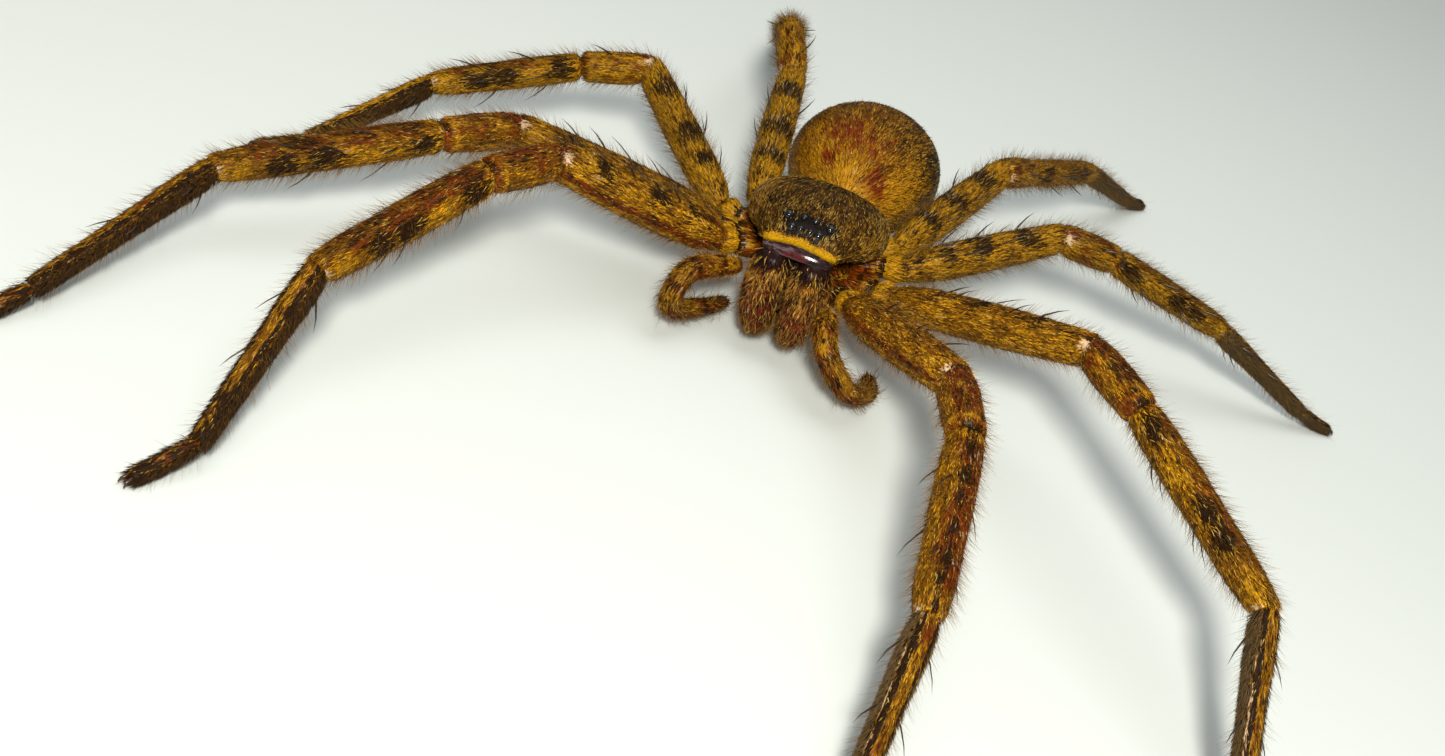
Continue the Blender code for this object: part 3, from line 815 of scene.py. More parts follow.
def segmentRings(leg, index, start):
    name = segmentNames[index]
    length, width = leg["lengths"][index], leg["widths"][index]
    way, up = leg["headings"][index], leg["backs"][index]
    across = np.cross(up, way)
    before = leg["headings"][index - 1] if index else unit(leg["coxa"])
    startPlane = unit(before + way)
    endPlane = unit(way + leg["headings"][index + 1]) if index < 4 else way
    reaches = []  # how far the rings lean towards each joint's plane
    for plane in (startPlane, endPlane):
        tangent = math.tan(math.acos(min(1, float(np.dot(plane, way)))))
        reaches.append(max(1.0, 2.2 * tangent * width / 2))
    rings = []
    for d in ringDistances(length):
        half = float(easeThrough(legOutlines[name], d / length)) * width / 2 * legSkin["inset"]
        if index == 0 and d < 1:
            half = max(half, legSkin["femurRootHalf"])
        knee = (name == "tibia" and d < 1) or (name == "patella" and length - d < 1)
        deeper = legSkin["kneeDeeper"] if knee else 1
        fold = toJoint(index, d, length) / legSkin["grooveHalf"] / deeper
        half -= legSkin["grooveDepth"] * deeper * math.exp(-(fold ** 2))
        startWeight = max(0, 1 - d / reaches[0])
        endWeight = max(0, 1 - (length - d) / reaches[1]) if index < 4 else 0
        straight = max(0, 1 - startWeight - endWeight)
        lean = unit(way * straight + startPlane * startWeight + endPlane * endWeight)
        centre = leg["joints"][index] + way * d
        if index == 4:
            centre[2] += legSkin["toeLift"] * ramp(d / length, 0.5, 1)
        points = ringAround(centre, across, up, half, half, leg["angles"], lean, way)
        rings.append(legRing(points, start + d, half, way, index, d))
    return rings


def legRings(leg):
    rings = coxaRings(leg)
    along = len(rings) * legSkin["coxaStep"]
    leg["flowStart"] = leg["number"] * 31 + legStarts[leg["side"]]["flow"]
    leg["hipFlow"] = leg["flowStart"] + along
    for index, length in enumerate(leg["lengths"]):
        rings += segmentRings(leg, index, along)
        along += length
    return rings


def turnFromBack(angles):
    return np.angle(np.exp(1j * (angles - math.pi / 2)))


# The markings of each part change dark, rust, pale and gold in place, for rings at d millimetres along it
# and points that are so many degrees away from the back

def coxaMarks(marks, d, away):
    # Dark red and bare towards the body, with gold hair on the side that faces forward
    dark, rust, pale, gold = marks
    base = ramp(-d, 1.95, 2.6)
    forward = swell(away, 58, 26)
    gold[:] = 0.5 + 1.6 * forward * swell(d, -2.15, 0.45) - 0.2 * base
    rust[:] = 0.95 + 0.4 * base - 0.6 * forward * swell(d, -2.15, 0.4)
    dark += 0.3 * base * (1 - forward) - 0.18 + swell(d, -2.62, 0.1) + 0.8 * swell(d, -1.78, 0.1)
    neck = d[:, 0] > -1.35  # the trochanter
    gold[neck] = 1.3
    rust[neck] = 1.2 * swell(d[neck], -0.2, 0.3) - 0.3
    dark[neck] += 1.2 * swell(d[neck], -0.05, 0.2) + 0.6 * swell(away, 30, 14) - 0.35
    dark += 1.6 * swell(d, -1.5, 0.22)
    # painted highlight: a pale line beside the dark rim, where the rim catches the light
    pale += 0.85 * swell(d, -1.85, 0.1) * swell(away, 50, 30)
    rims = np.maximum(swell(d, -1.5, 0.22), swell(d, -2.62, 0.12))
    return np.maximum(rims, 0.9 * base * (1 - forward))  # how bare it is


def femurMarks(marks, d, length, skin):
    dark, rust, pale, gold = marks
    away, toEnd = skin["away"], length - d
    first = skin["number"] == 1
    lowerLine = first * swell(skin["facing"], skin["lineAt"], 11)  # a dark red edge
    rust += 1.3 * lowerLine + 0.35 * first * swell(d / length, 0.06, 0.1)
    rust += 0.9 * swell(toEnd, 0.2, 0.35) * swell(away, 60, 12)
    dark += 0.3 * lowerLine + 0.9 * swell(toEnd, 0.02, 0.12) * (1 - ramp(away, 80, 120))
    gold += 0.3 * swell(toEnd, 1.3, 0.6)
    pale += 1.5 * swell(toEnd, -0.1, 0.55) * swell(away, 92, 26)


def kneeRim(marks, gap, away):
    dark, rust, _, _ = marks
    dark += 1.3 * swell(gap, 0, 0.19) * (1 - ramp(away, 88, 112))
    rust += swell(gap, 0, 0.26)


def patellaMarks(marks, d, length, skin):
    dark, rust, pale, gold = marks
    away, toEnd = skin["away"], length - d
    rust += 0.32 + 0.3 * swell(d / length, 0.5, 0.35) * swell(away, 35, 14)
    rust += 1.2 * swell(d, 0.6, 0.35) * swell(away, 66, 16)
    gold += 0.8 * swell(toEnd, 0.42, 0.2) - 0.04
    dark += 0.02 - 0.25 * swell(toEnd, 0.42, 0.25)
    pale += 1.5 * swell(d, -0.1, 0.6) * swell(away, 92, 26)
    kneeRim(marks, toEnd, away)


def tibiaMarks(marks, d, length, skin):
    dark, rust, pale, gold = marks
    turned, red = skin["turned"], skin["redBlotch"]
    share = d / length
    back = 1 - ramp(turned, 45 + 12 * red, 70 + 6 * red)
    flank = ramp(turned, 108 - 24 * red, 124 - 30 * red)  # plain ochre, with hardly a mark
    middle = back * ramp(share, 0.04, 0.12) * (1 - ramp(share, 0.8, 0.92))
    light = (swell(share, 0.34, 0.09) + ramp(share, 0.82, 0.9)) * (1 - red)
    stripe = red * swell(turned, 74, 15) * (0.6 + 0.4 * np.cos(share * 44))
    notched = (skin["side"] == "right") * middle * (0.55 + 0.45 * np.cos(share * 30 + 1))
    gold += 0.6 * light * swell(turned, 90, 42) - 0.1 - 0.1 * middle + 0.5 * swell(d, 0.5, 0.25)
    dark += 1.4 * stripe - 0.1 - 0.2 * flank - 0.2 * light * (1 - back) + 0.28 * notched
    rust += (0.24 + 0.76 * red) * middle - 0.15 * flank + 0.9 * stripe + 0.4 * notched
    pale += 1.4 * swell(length - d, 0, 0.35) * swell(skin["away"], 120, 30)
    kneeRim(marks, d, skin["away"])


def metatarsusMarks(marks, d, length, skin):
    dark, rust, pale, gold = marks
    away, share = skin["away"], d / length
    below = ramp(away, 45, 60)
    rust += 0.1 - 0.3 * below
    gold += 0.14 - 0.2 * share - 0.6 * below
    dark += 1.5 * swell(away, 42, 9) - 0.1 + 0.5 * ramp(away, 60, 75) + 0.3 * ramp(share, 0.6, 1)
    dark += 0.7 * swell(length - d, 0, 0.15)
    # painted highlight: a pale sheen line along the brush, on the front two left legs only
    if skin["side"] == "left" and skin["number"] < 3:
        pale += swell(skin["facing"], 58, 7) * swell(share, 0.45, 0.4)


def tarsusMarks(marks, d, length, skin):
    dark, rust, _, gold = marks
    rust += 0.3
    gold *= 0.3
    dark += 0.25 + 0.3 * ramp(d / length, 0.4, 1)


segmentMarks = (femurMarks, patellaMarks, tibiaMarks, metatarsusMarks, tarsusMarks)


def legMarks(leg, rings):
    side, number = leg["side"], leg["number"]
    draw = np.random.default_rng(legStarts[side]["marks"] + number)
    shifts = {name: draw.uniform(-0.03, 0.03, (len(spots), 1)) for name, spots in legBlotches.items()}
    moreGold, moreRust, redBlotch, twist = legTints[side, number]
    fromBack = np.degrees(turnFromBack(leg["angles"]))
    facing = fromBack if side == "left" else -fromBack  # forward is more than 0
    skin = {
        "side": side,
        "number": number,
        "redBlotch": redBlotch,
        "facing": facing,
        "away": np.abs(fromBack),
        "turned": np.abs((facing - twist + 180) % 360 - 180),
        "lineAt": 142 if side == "left" else 152,
    }
    upper = 1 - ramp(skin["away"], 65, 100)
    marks = np.zeros((4, len(rings), len(facing)))
    bare = np.zeros((len(rings), len(facing)))
    marks[0] = 0.18 + (0.24 if number < 4 else 0.04) * upper
    marks[1] = 0.24 + moreRust * (0.3 + 0.7 * upper)
    marks[3] = 0.38 + moreGold - 0.12 * upper
    segments = [ring["segment"] for ring in rings]
    for index in range(-1, 5):
        first = segments.index(index)
        part = slice(first, first + segments.count(index))
        dark, rust, pale, _ = marks[:, part]
        d = np.array([ring["distance"] for ring in rings[part]])[:, None]
        if index < 0:
            bared = coxaMarks(marks[:, part], d, skin["away"])
        else:
            name, length = segmentNames[index], leg["lengths"][index]
            around = skin["turned" if name in ("femur", "tibia") else "facing"]
            for blotch, shift in zip(legBlotches[name], shifts[name]):
                place, halfLength, angle, halfAngle, strength = blotch
                spot = strength * swell(d, (place + shift[0]) * length, halfLength)
                spot = spot * swell(around, angle, halfAngle)
                if name == "tibia":
                    spot = spot * (1 - 0.7 * redBlotch)
                np.maximum(dark, spot * (1 - 0.5 * redBlotch), out=dark)
                rust += redBlotch * 0.8 * spot
            segmentMarks[index](marks[:, part], d, length, skin)
            bared = swell(toJoint(index, d, length), 0, 0.16)
        bare[part] = np.maximum(ramp(pale, 0.3, 0.8) * 0.95, bared)
    return marks.reshape(4, -1), bare.ravel()


def makeLeg(side, number, materials):
    leg = planLeg(side, number)
    rings = legRings(leg)
    name = leg["name"]
    skin = loftSkin(name + "_skin", [ring["points"] for ring in rings], materials["legSkin"], asIs)
    along, half = ([ring[part] for ring in rings] for part in ("along", "half"))
    flow, unwrap = straighten(leg["angles"], along, half)
    flow[:, 0] += leg["flowStart"]
    lie = np.repeat([ring["way"] for ring in rings], len(leg["angles"]), axis=0)
    marks, bare = legMarks(leg, rings)
    dress(skin, flow, lie, marks, bare, unwrap)
    finishPiece(skin, "leg", *[f"{name}_{part}" for part in segmentNames])
    draw = np.random.default_rng(legStarts[side]["hair"] + number)
    away = np.tile(np.abs(turnFromBack(leg["angles"])), len(rings))
    segment = np.repeat([ring["segment"] for ring in rings], len(leg["angles"]))
    onBrush = (segment >= 3) * ramp(away, 0.95, 1.1)
    hair = legHair["close"]
    roots = scatter(skin, hair["count"], draw, 1 - 0.9 * onBrush)
    fromHip = roots["flow"][:, 0] - leg["hipFlow"]
    order = np.searchsorted(np.cumsum(leg["lengths"]), fromHip)
    roots["scale"] = np.array(closeLengths)[np.clip(order, 0, 4)]
    coat = strandMesh(name + "_coat", roots, draw, hair, materials["legCoat"])
    finishPiece(coat, "leg")
    onLeg = (segment >= 0) * 0.55 + (segment == 2) * 0.5 - (segment == 4) * 0.5
    weights = 0.25 + onLeg + ramp(away, 1.6, 2.4) * 0.5
    fringe = growHair(skin, name + "_fringe", "leg", draw, legHair["fringe"], materials["fringe"], weights)
    makePaleTufts(leg, skin, draw, materials)
    # painted shade: the right legs take a darker copy of the brush finish, for the side turned from the light
    brushMaterial = materials["brush" if side == "left" else "shadedBrush"]
    brush = growHair(skin, name + "_brush", "foot", draw, legHair["brush"], brushMaterial, onBrush + 1e-6)
    spines = makeSpines(leg, materials)
    makeClaws(leg, materials)
    for piece in (skin, coat, fringe, brush, spines):
        keepAboveFloor(piece)


def makePaleTufts(leg, skin, draw, materials):
    # A few white hairs lie at the far end of each dark patch along the back
    hair = legHair["tufts"]
    if leg["number"] == 4:
        hair = {**hair, "count": hair["count"] // 2}
    flow = getPoints(skin.data, "flow")
    fromBack = np.tile(np.degrees(turnFromBack(leg["angles"])), len(flow) // len(leg["angles"]))
    start = leg["hipFlow"]
    weights = np.full(len(flow), 1e-9)
    for part, length in zip(segmentNames, leg["lengths"]):
        for place, halfLength, _, _, strength in legBlotches[part]:
            if part in ("femur", "tibia") and strength > 1:
                at = start + place * length + halfLength * 0.2
                for beside in (-20, 16):
                    weights += swell(flow[:, 0], at, 0.3) * swell(fromBack, beside, 7)
        start += length
    growHair(skin, leg["name"] + "_pale_tufts", "leg", draw, hair, materials["paleHair"], weights)


floorGap = 0.02  # a leg's skin and hair stay this far above the floor


def keepAboveFloor(obj):
    mesh = obj.data
    places = readPoints(mesh.vertices, "co", 3)
    places[:, 2] = np.maximum(places[:, 2], floorGap * mm)
    mesh.vertices.foreach_set("co", places.astype(np.float32).ravel())
    mesh.update()


# Share of the segment's length, and degrees from its back
spineRows = {
    "femur": ((0.22, 0), (0.45, 4), (0.7, -3), (0.32, 62), (0.6, 55), (0.32, -62), (0.6, -55)),
    "patella": ((0.55, 75), (0.55, -75)),
    "tibia": ((0.3, 78), (0.66, 78), (0.3, -78), (0.66, -78), (0.22, 135), (0.22, -135), (0.56, 135),
              (0.56, -135)),
    "metatarsus": ((0.14, 85), (0.46, 80), (0.14, -85), (0.46, -80), (0.1, 140), (0.1, -140)),
    "tarsus": (),
}
spineLengths = {"femur": 2.5, "patella": 2.0, "tibia": 2.6, "metatarsus": 2.3}
spineHair = {"length": 1, "vary": 0.02, "width": 0.14, "lift": 42, "liftVary": 3, "turn": 4, "sides": 6,
             "sections": ((0, 1.0), (0.3, 0.86), (0.65, 0.55)), "flat": 1.0, "sink": 0.1, "patch": 0.03}
spineDraw = random.Random(17)


def makeSpines(leg, materials):
    # The same spines as the solids have, each in its own place, but as thin as real ones
    spots = []
    for index, part in enumerate(segmentNames):
        way, back = leg["headings"][index], leg["backs"][index]
        across = np.cross(back, way)
        for share, angle in spineRows[part]:
            turn = math.radians(angle + spineDraw.uniform(-7, 7))
            outward = across * math.sin(turn) + back * math.cos(turn)
            radius = float(easeThrough(legOutlines[part], share)) * leg["widths"][index] / 2
            reach = spineLengths[part] * spineDraw.uniform(0.88, 1.1) + radius * 0.1
            place = leg["joints"][index] + way * share * leg["lengths"][index] + outward * radius * 0.86
            spots.append((place, way, outward, reach))
    places, ways, outs, lengths = (np.array(column) for column in zip(*spots))
    count = len(spots)
    roots = {
        "place": places,
        "lie": ways,
        "normal": outs,
        "scale": lengths,
        "flow": places,
        "markings": np.tile((1.0, 0, 0, 0), (count, 1)),
        "unwrap": np.column_stack((np.linspace(0.05, 0.95, count), np.full(count, 0.5))),
    }
    draw = np.random.default_rng(leg["number"] + len(leg["name"]))
    spines = strandMesh(leg["name"] + "_spines", roots, draw, spineHair, materials["spine"])
    spines.data.shade_smooth()
    finishPiece(spines, "leg")
    return spines


# Beyond the toe, aside, up and half width
clawPath = (
    (-0.35, 0.13, 0.16, 0.12),
    (0, 0.18, 0.3, 0.11),
    (0.28, 0.23, 0.28, 0.08),
    (0.46, 0.27, 0.12, 0.045),
    (0.5, 0.28, 0.0, 0.015),
)


def makeClaws(leg, materials):
    way, up = leg["headings"][4], leg["backs"][4]
    across = np.cross(up, way)
    toe = leg["joints"][4] + way * leg["lengths"][4]
    angles = circleAngles(8)
    for label, sign in (("a", -1), ("b", 1)):
        moves = np.array((way, across * sign, up))
        centres = toe + np.array(clawPath)[:, :3] @ moves
        rings = []
        for k, (centre, (_, _, _, half)) in enumerate(zip(centres, clawPath)):
            tangent = unit(centres[min(k + 1, 4)] - centres[max(k - 1, 0)])
            lift = squareTo(up, tangent)
            rings.append(ringAround(centre, np.cross(lift, tangent), lift, half, half, angles))
        claw = loftSkin(f"{leg['name']}_claw_{label}", rings, materials["claw"], asIs)
        finishPiece(claw, "foot")


# Body

bothSides = (("left", 1), ("right", -1))
carapaceShape = {
    "width": 10.4,
    "height": 3.3,
    "inset": 0.985,
    "sides": 72,
    "rings": 92,
    "rim": 0.3,
    "flowStart": 400,
    "seed": 71,
}
# Along the body: place, half width share, top share and base
carapaceStations = (
    (-5.62, 0.40, 0.43, 0.80), (-5.55, 0.45, 0.49, 0.78), (-5.4, 0.52, 0.6, 0.75), (-4.9, 0.58, 0.71, 0.74),
    (-4.1, 0.66, 0.84, 0.6), (-3.1, 0.77, 0.92, 0.3), (-1.4, 0.94, 0.99, 0.1), (0.7, 1.0, 0.96, 0.1),
    (2.5, 0.93, 0.83, 0.1), (3.9, 0.74, 0.62, 0.1), (4.85, 0.48, 0.4, 0.1), (5.25, 0.26, 0.27, 0.12),
)
carapaceHair = {
    "coat": {"count": 14000, "length": 0.5, "width": 0.065, "lift": 7, "liftVary": 4, "turn": 15,
             "flat": 0.45},
    "gold": {"count": 1500, "length": 0.55, "width": 0.05, "lift": 9, "liftVary": 4, "turn": 16,
             "bend": 0.5, "sections": bentSections, "flat": 0.7},
    "band": {"count": 6000, "length": 0.2, "vary": 0.25, "width": 0.055, "lift": 20, "turn": 25},
}
# Each pair of eyes: name, the left one's place, and size
eyeRows = (
    ("front_middle_eye", (0.345, -5.03, 2.3), 0.44),
    ("front_side_eye", (0.97, -4.98, 2.22), 0.56),
    ("rear_middle_eye", (0.42, -4.15, 2.78), 0.41),
    ("rear_side_eye", (1.52, -4.15, 2.58), 0.57),
)
lensShare = 0.61  # a lens's radius, as a share of the eye's size
faceBand = {
    "height": 1.62,  # of its middle
    "drop": 0.42,  # how much lower its ends are
    "reach": 2.6,
    "half": 0.2,
}


def bandDistance(points):
    return points[:, 2] - (faceBand["height"] - faceBand["drop"] * (points[:, 0] / faceBand["reach"]) ** 2)


def eyePlaces():
    for label, (x, y, z), size in eyeRows:
        for side, sign in bothSides:
            yield f"{side}_{label}", np.array((sign * x, y, z)), size


def sculptCarapace(points):
    # The sockets' low mounds, the groove behind the head with the furrows from it, and the brow over the band
    x, y, z = points.T
    lift = np.zeros(len(points))
    for _, place, size in eyePlaces():
        lift += 0.1 * swell(np.hypot(x - place[0], y - place[1]), 0, size * 0.95)
    lift -= 0.28 * swell(x, 0, 0.2) * swell(y, 1.75, 0.65)
    around, far = np.arctan2(x, y - 1.4), np.hypot(x, y - 1.4)
    lift -= 0.07 * ramp(np.cos(around * 8), 0.2, 1) * ramp(far, 0.6, 1.6) * (1 - ramp(far, 3.6, 4.8))
    headEdge = np.abs(np.abs(x) - 2.6 * (1 - (y + 4.6) / 5.2))
    lift -= 0.1 * swell(headEdge, 0, 0.28) * ramp(y, -4.2, -3.4) * (1 - ramp(y, -0.4, 0.8))
    brow = 0.07 * swell(bandDistance(points), 0, faceBand["half"]) * ramp(-y, 4.9, 5.3)
    return np.column_stack((x, y - brow, z + lift * ramp(z, 0.6, 1.4)))


def carapaceRings(angles, shares):
    stations = np.array(carapaceStations)
    places = stations[0, 0] + (stations[-1, 0] - stations[0, 0]) * (shares ** 1.15)
    inset, rimHeight = carapaceShape["inset"], carapaceShape["rim"]
    c, s = np.cos(angles), np.sin(angles)
    rings = []
    columns = [easeThrough(stations[:, (0, k)], places) for k in (1, 2, 3)]
    for place, wide, high, base in zip(places, *columns):
        rim = base + rimHeight
        crown = max(high * carapaceShape["height"] * inset, rim + 0.35)
        x = wide * carapaceShape["width"] / 2 * inset * np.sign(c) * np.abs(c) ** 0.9
        z = np.where(s >= 0, rim + (crown - rim) * np.abs(s) ** 0.85, rim - rimHeight * np.abs(s) ** 0.5)
        rings.append(sculptCarapace(np.column_stack((x, np.full(len(x), place), z))))
    return rings


def makeCarapace(materials):
    angles = circleAngles(carapaceShape["sides"])
    shares = np.linspace(0, 1, carapaceShape["rings"])
    rings = carapaceRings(angles, shares)
    skin = loftSkin("carapace_skin", rings, materials["carapaceSkin"])
    points = np.concatenate(rings)
    x, y, z = points.T
    band = bandDistance(points)
    onBand = (1 - ramp(np.abs(band), faceBand["half"] * 0.75, faceBand["half"] * 1.1)) * ramp(-y, 4.6, 5.0)
    onBand = onBand * (1 - ramp(np.abs(x), 2.45, 2.7))
    under = ramp(-band, faceBand["half"] * 0.9, faceBand["half"] * 1.4) * ramp(-y, 4.9, 5.3)
    eyes = swell(x, 0, 1.15) * swell(y, -4.8, 0.42)
    for _, place, size in eyePlaces():
        eyes = np.maximum(eyes, 1 - ramp(np.linalg.norm(points - place, axis=1), size * 0.7, size * 1.15))
    fovea = swell(x, 0, 0.16) * swell(y, 1.7, 0.7)
    around, far = np.arctan2(x, y - 1.2), np.hypot(x, y - 1.2)
    rays = 0.5 + 0.5 * np.cos(around * 8)
    edge = ramp(np.abs(x) / 5.2, 0.55, 0.95)
    aroundEyes = swell(x, 0, 1.9) * swell(y, -4.5, 0.8)
    dark = 0.42 - 0.16 * edge + 1.8 * eyes + 0.35 * aroundEyes + 0.6 * fovea
    dark = dark + 0.1 * rays + 1.2 * under - 2 * onBand
    rust = 0.26 + 0.4 * edge * (x < 0) + 0.1 * edge + 0.15 * swell(y, -3.2, 1.1) - onBand
    gold = 0.16 + (0.26 + 0.16 * (x < 0)) * edge + 0.08 * swell(y, -3, 1.5) + 1.7 * onBand - eyes
    pale = 0.5 * (1 - ramp(np.abs(z - 0.32), 0.02, 0.12)) * ramp(np.abs(x), 2.5, 4)
    bare = np.where(z < 0.25, 1, ramp(eyes, 0.4, 1) * 0.97 + under)
    outward = unit(np.column_stack((x * 0.5, y - 1.2, 0 * x))) * ramp(far, 0.3, 2)[:, None]
    lie = (np.array((0, 0.7, 0)) - 0.8 * outward) @ bodyTurn.T
    flow = np.column_stack((y, x, z)) * 1.5 + np.array((carapaceShape["flowStart"], 0, 0))
    dress(skin, flow, lie, (dark, rust, pale, gold), bare, unwrapRound(angles, shares))
    finishPiece(skin, "carapace", "carapace")
    draw = np.random.default_rng(carapaceShape["seed"])
    weights = (1 - onBand) * (z > 0.2)
    hair = carapaceHair["coat"]
    growHair(skin, "carapace_coat", "carapace", draw, hair, materials["carapaceCoat"], weights)
    arcs = 0.15 + swell(np.hypot(x, y + 4.4), 1.9, 0.35) + edge * (0.5 + 0.5 * np.cos(around * 16))
    weights = weights * (1 - eyes) * arcs
    hair = carapaceHair["gold"]
    growHair(skin, "carapace_gold_hair", "carapace", draw, hair, materials["goldHair"], weights)
    hair = carapaceHair["band"]
    roots = scatter(skin, hair["count"], draw, onBand ** 2 + 1e-9)
    roots["lie"] = np.tile((0.15, 0, -1.0), (hair["count"], 1))
    finishPiece(strandMesh("face_band_hair", roots, draw, hair, materials["bandHair"]), "carapace")


def makeEyes(materials):
    for name, place, size in eyePlaces():
        bm = bmesh.new()
        matrix = Matrix.Translation(Vector(toModel(place)) * mm)
        bmesh.ops.create_uvsphere(bm, u_segments=28, v_segments=18, radius=size * lensShare * mm,
                                  matrix=matrix)
        finishPiece(objectFrom(bm, name + "_lens", materials["eye"]), "eye", name)


clypeusShape = {
    "reach": 2.55,
    "centre": (-5.74, 0.92),  # y and z, in the middle
    "slope": (-0.62, -0.78),  # from the band down to the lip
    "half": (0.58, 0.26),
    "fallBack": (0.30, -0.24),  # how far its ends lie back and down
    "flowStart": 500,
}


def makeClypeus(materials):
    # The bare, glossy ledge between the yellow band and the jaws, with a painted highlight along one side of
    # its lip
    angles = circleAngles(32)
    shape = clypeusShape
    down = np.array((0, *shape["slope"]))
    out = np.cross(np.array((1.0, 0, 0)), down)
    c, s = np.cos(angles), np.sin(angles)
    lip = 1 + 0.35 * swell(c, 1, 0.16)  # it stands out at the lower edge
    rings = []
    for x in np.linspace(-shape["reach"], shape["reach"], 48):
        share = abs(x) / shape["reach"]
        full = 0.25 + 0.75 * math.sqrt(max(0, 1 - share ** 4))
        back, drop = (part * share ** 2 for part in shape["fallBack"])
        centre = np.array((x, shape["centre"][0] + back, shape["centre"][1] + drop))
        halfDown, halfOut = (half * full for half in shape["half"])
        rings.append(centre + np.outer(c, down) * halfDown + np.outer(s * lip, out) * halfOut)
    skin = loftSkin("clypeus_ledge", rings, materials["clypeus"])
    points = np.concatenate(rings)
    x, _, z = points.T
    along = np.tile(c, len(rings))
    # painted highlight: a pale line along the lip on one side, where the glossy ridge catches the light
    lipHighlight = swell(along, 0.2, 0.3) * ramp(-x, -0.4, 0.8)
    redSpot = swell(x, 0.5, 0.9) * swell(along, 0.55, 0.3)
    marks = (0.8 - 0.8 * lipHighlight - 0.5 * redSpot, 0.4 + 0.6 * redSpot, 1.1 * lipHighlight, 0)
    unwrap = np.column_stack(((x + 3) / 6, (z + 1) / 3))
    dress(skin, points + np.array((shape["flowStart"], 0, 0)), (0, 0, -1), marks, 1, unwrap)
    finishPiece(skin, "carapace")


abdomenShape = {
    "size": (11.8, 14.8, 9.4),
    "centre": (0.45, 13.0, -0.2),
    "inset": 0.985,
    "sides": 84,
    "rings": 96,
    "flowStart": 600,
    "seed": 83,
}
abdomenHair = {
    "coat": {"count": 15000, "length": 0.62, "width": 0.095, "lift": 8, "liftVary": 4, "turn": 13,
             "flat": 0.45},
    "bristles": {"count": 900, "length": 0.6, "width": 0.026, "lift": 32, "liftVary": 10, "turn": 20,
                 "bend": 0.4, "sections": bentSections, "flat": 1.0},
}
# Each spot: place from the middle, reach, and how much darker, redder and yellower it is
abdomenSpots = (
    ((-2.1, -5.6, 2.5), 0.55, (0.1, 1.0, -0.3)),
    ((1.8, -6.0, 2.3), 0.75, (0.5, 1.5, -0.6)),
    ((2.9, -6.2, 1.2), 1.3, (-0.3, 0.3, 0.4)),
    ((-2.6, -5.6, 2.0), 2.1, (-0.4, 0.16, 0.48)),
    ((-0.2, -6.5, 2.1), 1.7, (-0.35, -0.3, 0.42)),
    ((-1.9, -2.8, 4.0), 1.6, (-0.2, 0.54, 0.15)),
    ((2.2, -2.8, 4.0), 0.9, (0.0, 0.3, 0.0)),
    ((0.5, -4.4, 3.7), 1.6, (-0.2, 0.3, 0.2)),
    ((4.4, -4.2, 1.5), 2.2, (-0.25, -0.35, 0.4)),
    ((-4.6, -3.8, 1.7), 2.0, (-0.25, 0.15, 0.4)),
    ((2.6, -1.2, 4.2), 1.8, (0.15, -0.1, -0.1)),
    *(((x, *dimple), 0.32, (0.6, 0, 0)) for dimple in ((-0.6, 4.6), (2.0, 4.5)) for x in (1.5, -1.5)),
    ((2.4, -6.5, 1.2), 0.9, (-0.3, 0.25, 0.9)),
    ((3.7, -5.4, 1.0), 1.4, (-0.2, -0.2, 0.55)),
    ((-3.6, -4.2, 2.2), 1.8, (-0.45, -0.12, 0.75)),
    ((-3.0, -5.9, 1.4), 1.2, (-0.4, -0.1, 0.6)),
)


def makeAbdomen(materials):
    halfWidth, halfLength, halfHeight = (size / 2 * abdomenShape["inset"] for size in abdomenShape["size"])
    centre = np.array(abdomenShape["centre"])
    angles = circleAngles(abdomenShape["sides"])
    turns = np.linspace(0.02, 0.98, abdomenShape["rings"])
    rings = []
    for turn in turns * math.pi:
        share = -math.cos(turn)
        full = math.sqrt(1 - share * share) * (1 + 0.07 * share)
        middle = centre + np.array((0, share * halfLength, 0))
        rings.append(ringAround(middle, (1, 0, 0), (0, 0, 1), halfWidth * full, halfHeight * full, angles))
    points = np.concatenate(rings)
    x, y, z = (points - centre).T
    # Low dimples where the muscles hold, in two rows along the back
    for side in (-1, 1):
        for place in (-0.6, 2.0):
            points[:, 2] -= 0.1 * swell(x, side * 1.5, 0.35) * swell(y, place, 0.4) * ramp(z, 2.5, 4)
    skin = loftSkin("abdomen_skin", points.reshape(len(rings), -1, 3), materials["abdomenSkin"])
    top = ramp(z, -1.5, 2.5)
    behind = ramp(y, 0.5, 6)
    flank = ramp(np.abs(x), 3.6, 5.6)
    right = ramp(x, 0.5, 3.5)
    dark = 0.34 + 0.24 * behind + 0.16 * right * ramp(y, -4, -1) + 0.2 * flank * ramp(y, -3, 1)
    dark = dark + 0.3 * (1 - top) + 0.3 * ramp(x, 3.4, 5.0) * top
    rust = 0.46 - 0.1 * behind - 0.1 * right
    gold = 0.22 + 0.14 * (1 - behind) - 0.06 * flank
    gold = gold + 0.25 * (1 - right) * ramp(-x, 2.4, 4.4) * ramp(-y, 0, 3)
    for place, reach, (moreDark, moreRust, moreGold) in abdomenSpots:
        spot = swell(np.linalg.norm(points - centre - place, axis=1), 0, reach)
        dark += moreDark * spot
        rust += moreRust * spot
        gold += moreGold * spot
    marks = (dark, rust, 0.25 * (1 - top) * flank, gold)
    backward = unit(np.column_stack((x * 0.12, np.ones(len(x)), -0.25 * ramp(y, 2, 6))))
    flow = np.column_stack((y, x, z)) * 1.3 + np.array((abdomenShape["flowStart"], 0, 0))
    dress(skin, flow, backward @ bodyTurn.T, marks, 0, unwrapRound(angles, turns))
    finishPiece(skin, "abdomen", "abdomen")
    draw = np.random.default_rng(abdomenShape["seed"])
    coat = materials["abdomenCoat"]
    for label in ("one", "two"):
        growHair(skin, "abdomen_coat_" + label, "abdomen", draw, abdomenHair["coat"], coat)
    growHair(skin, "abdomen_bristles", "abdomen", draw, abdomenHair["bristles"], materials["bristle"])


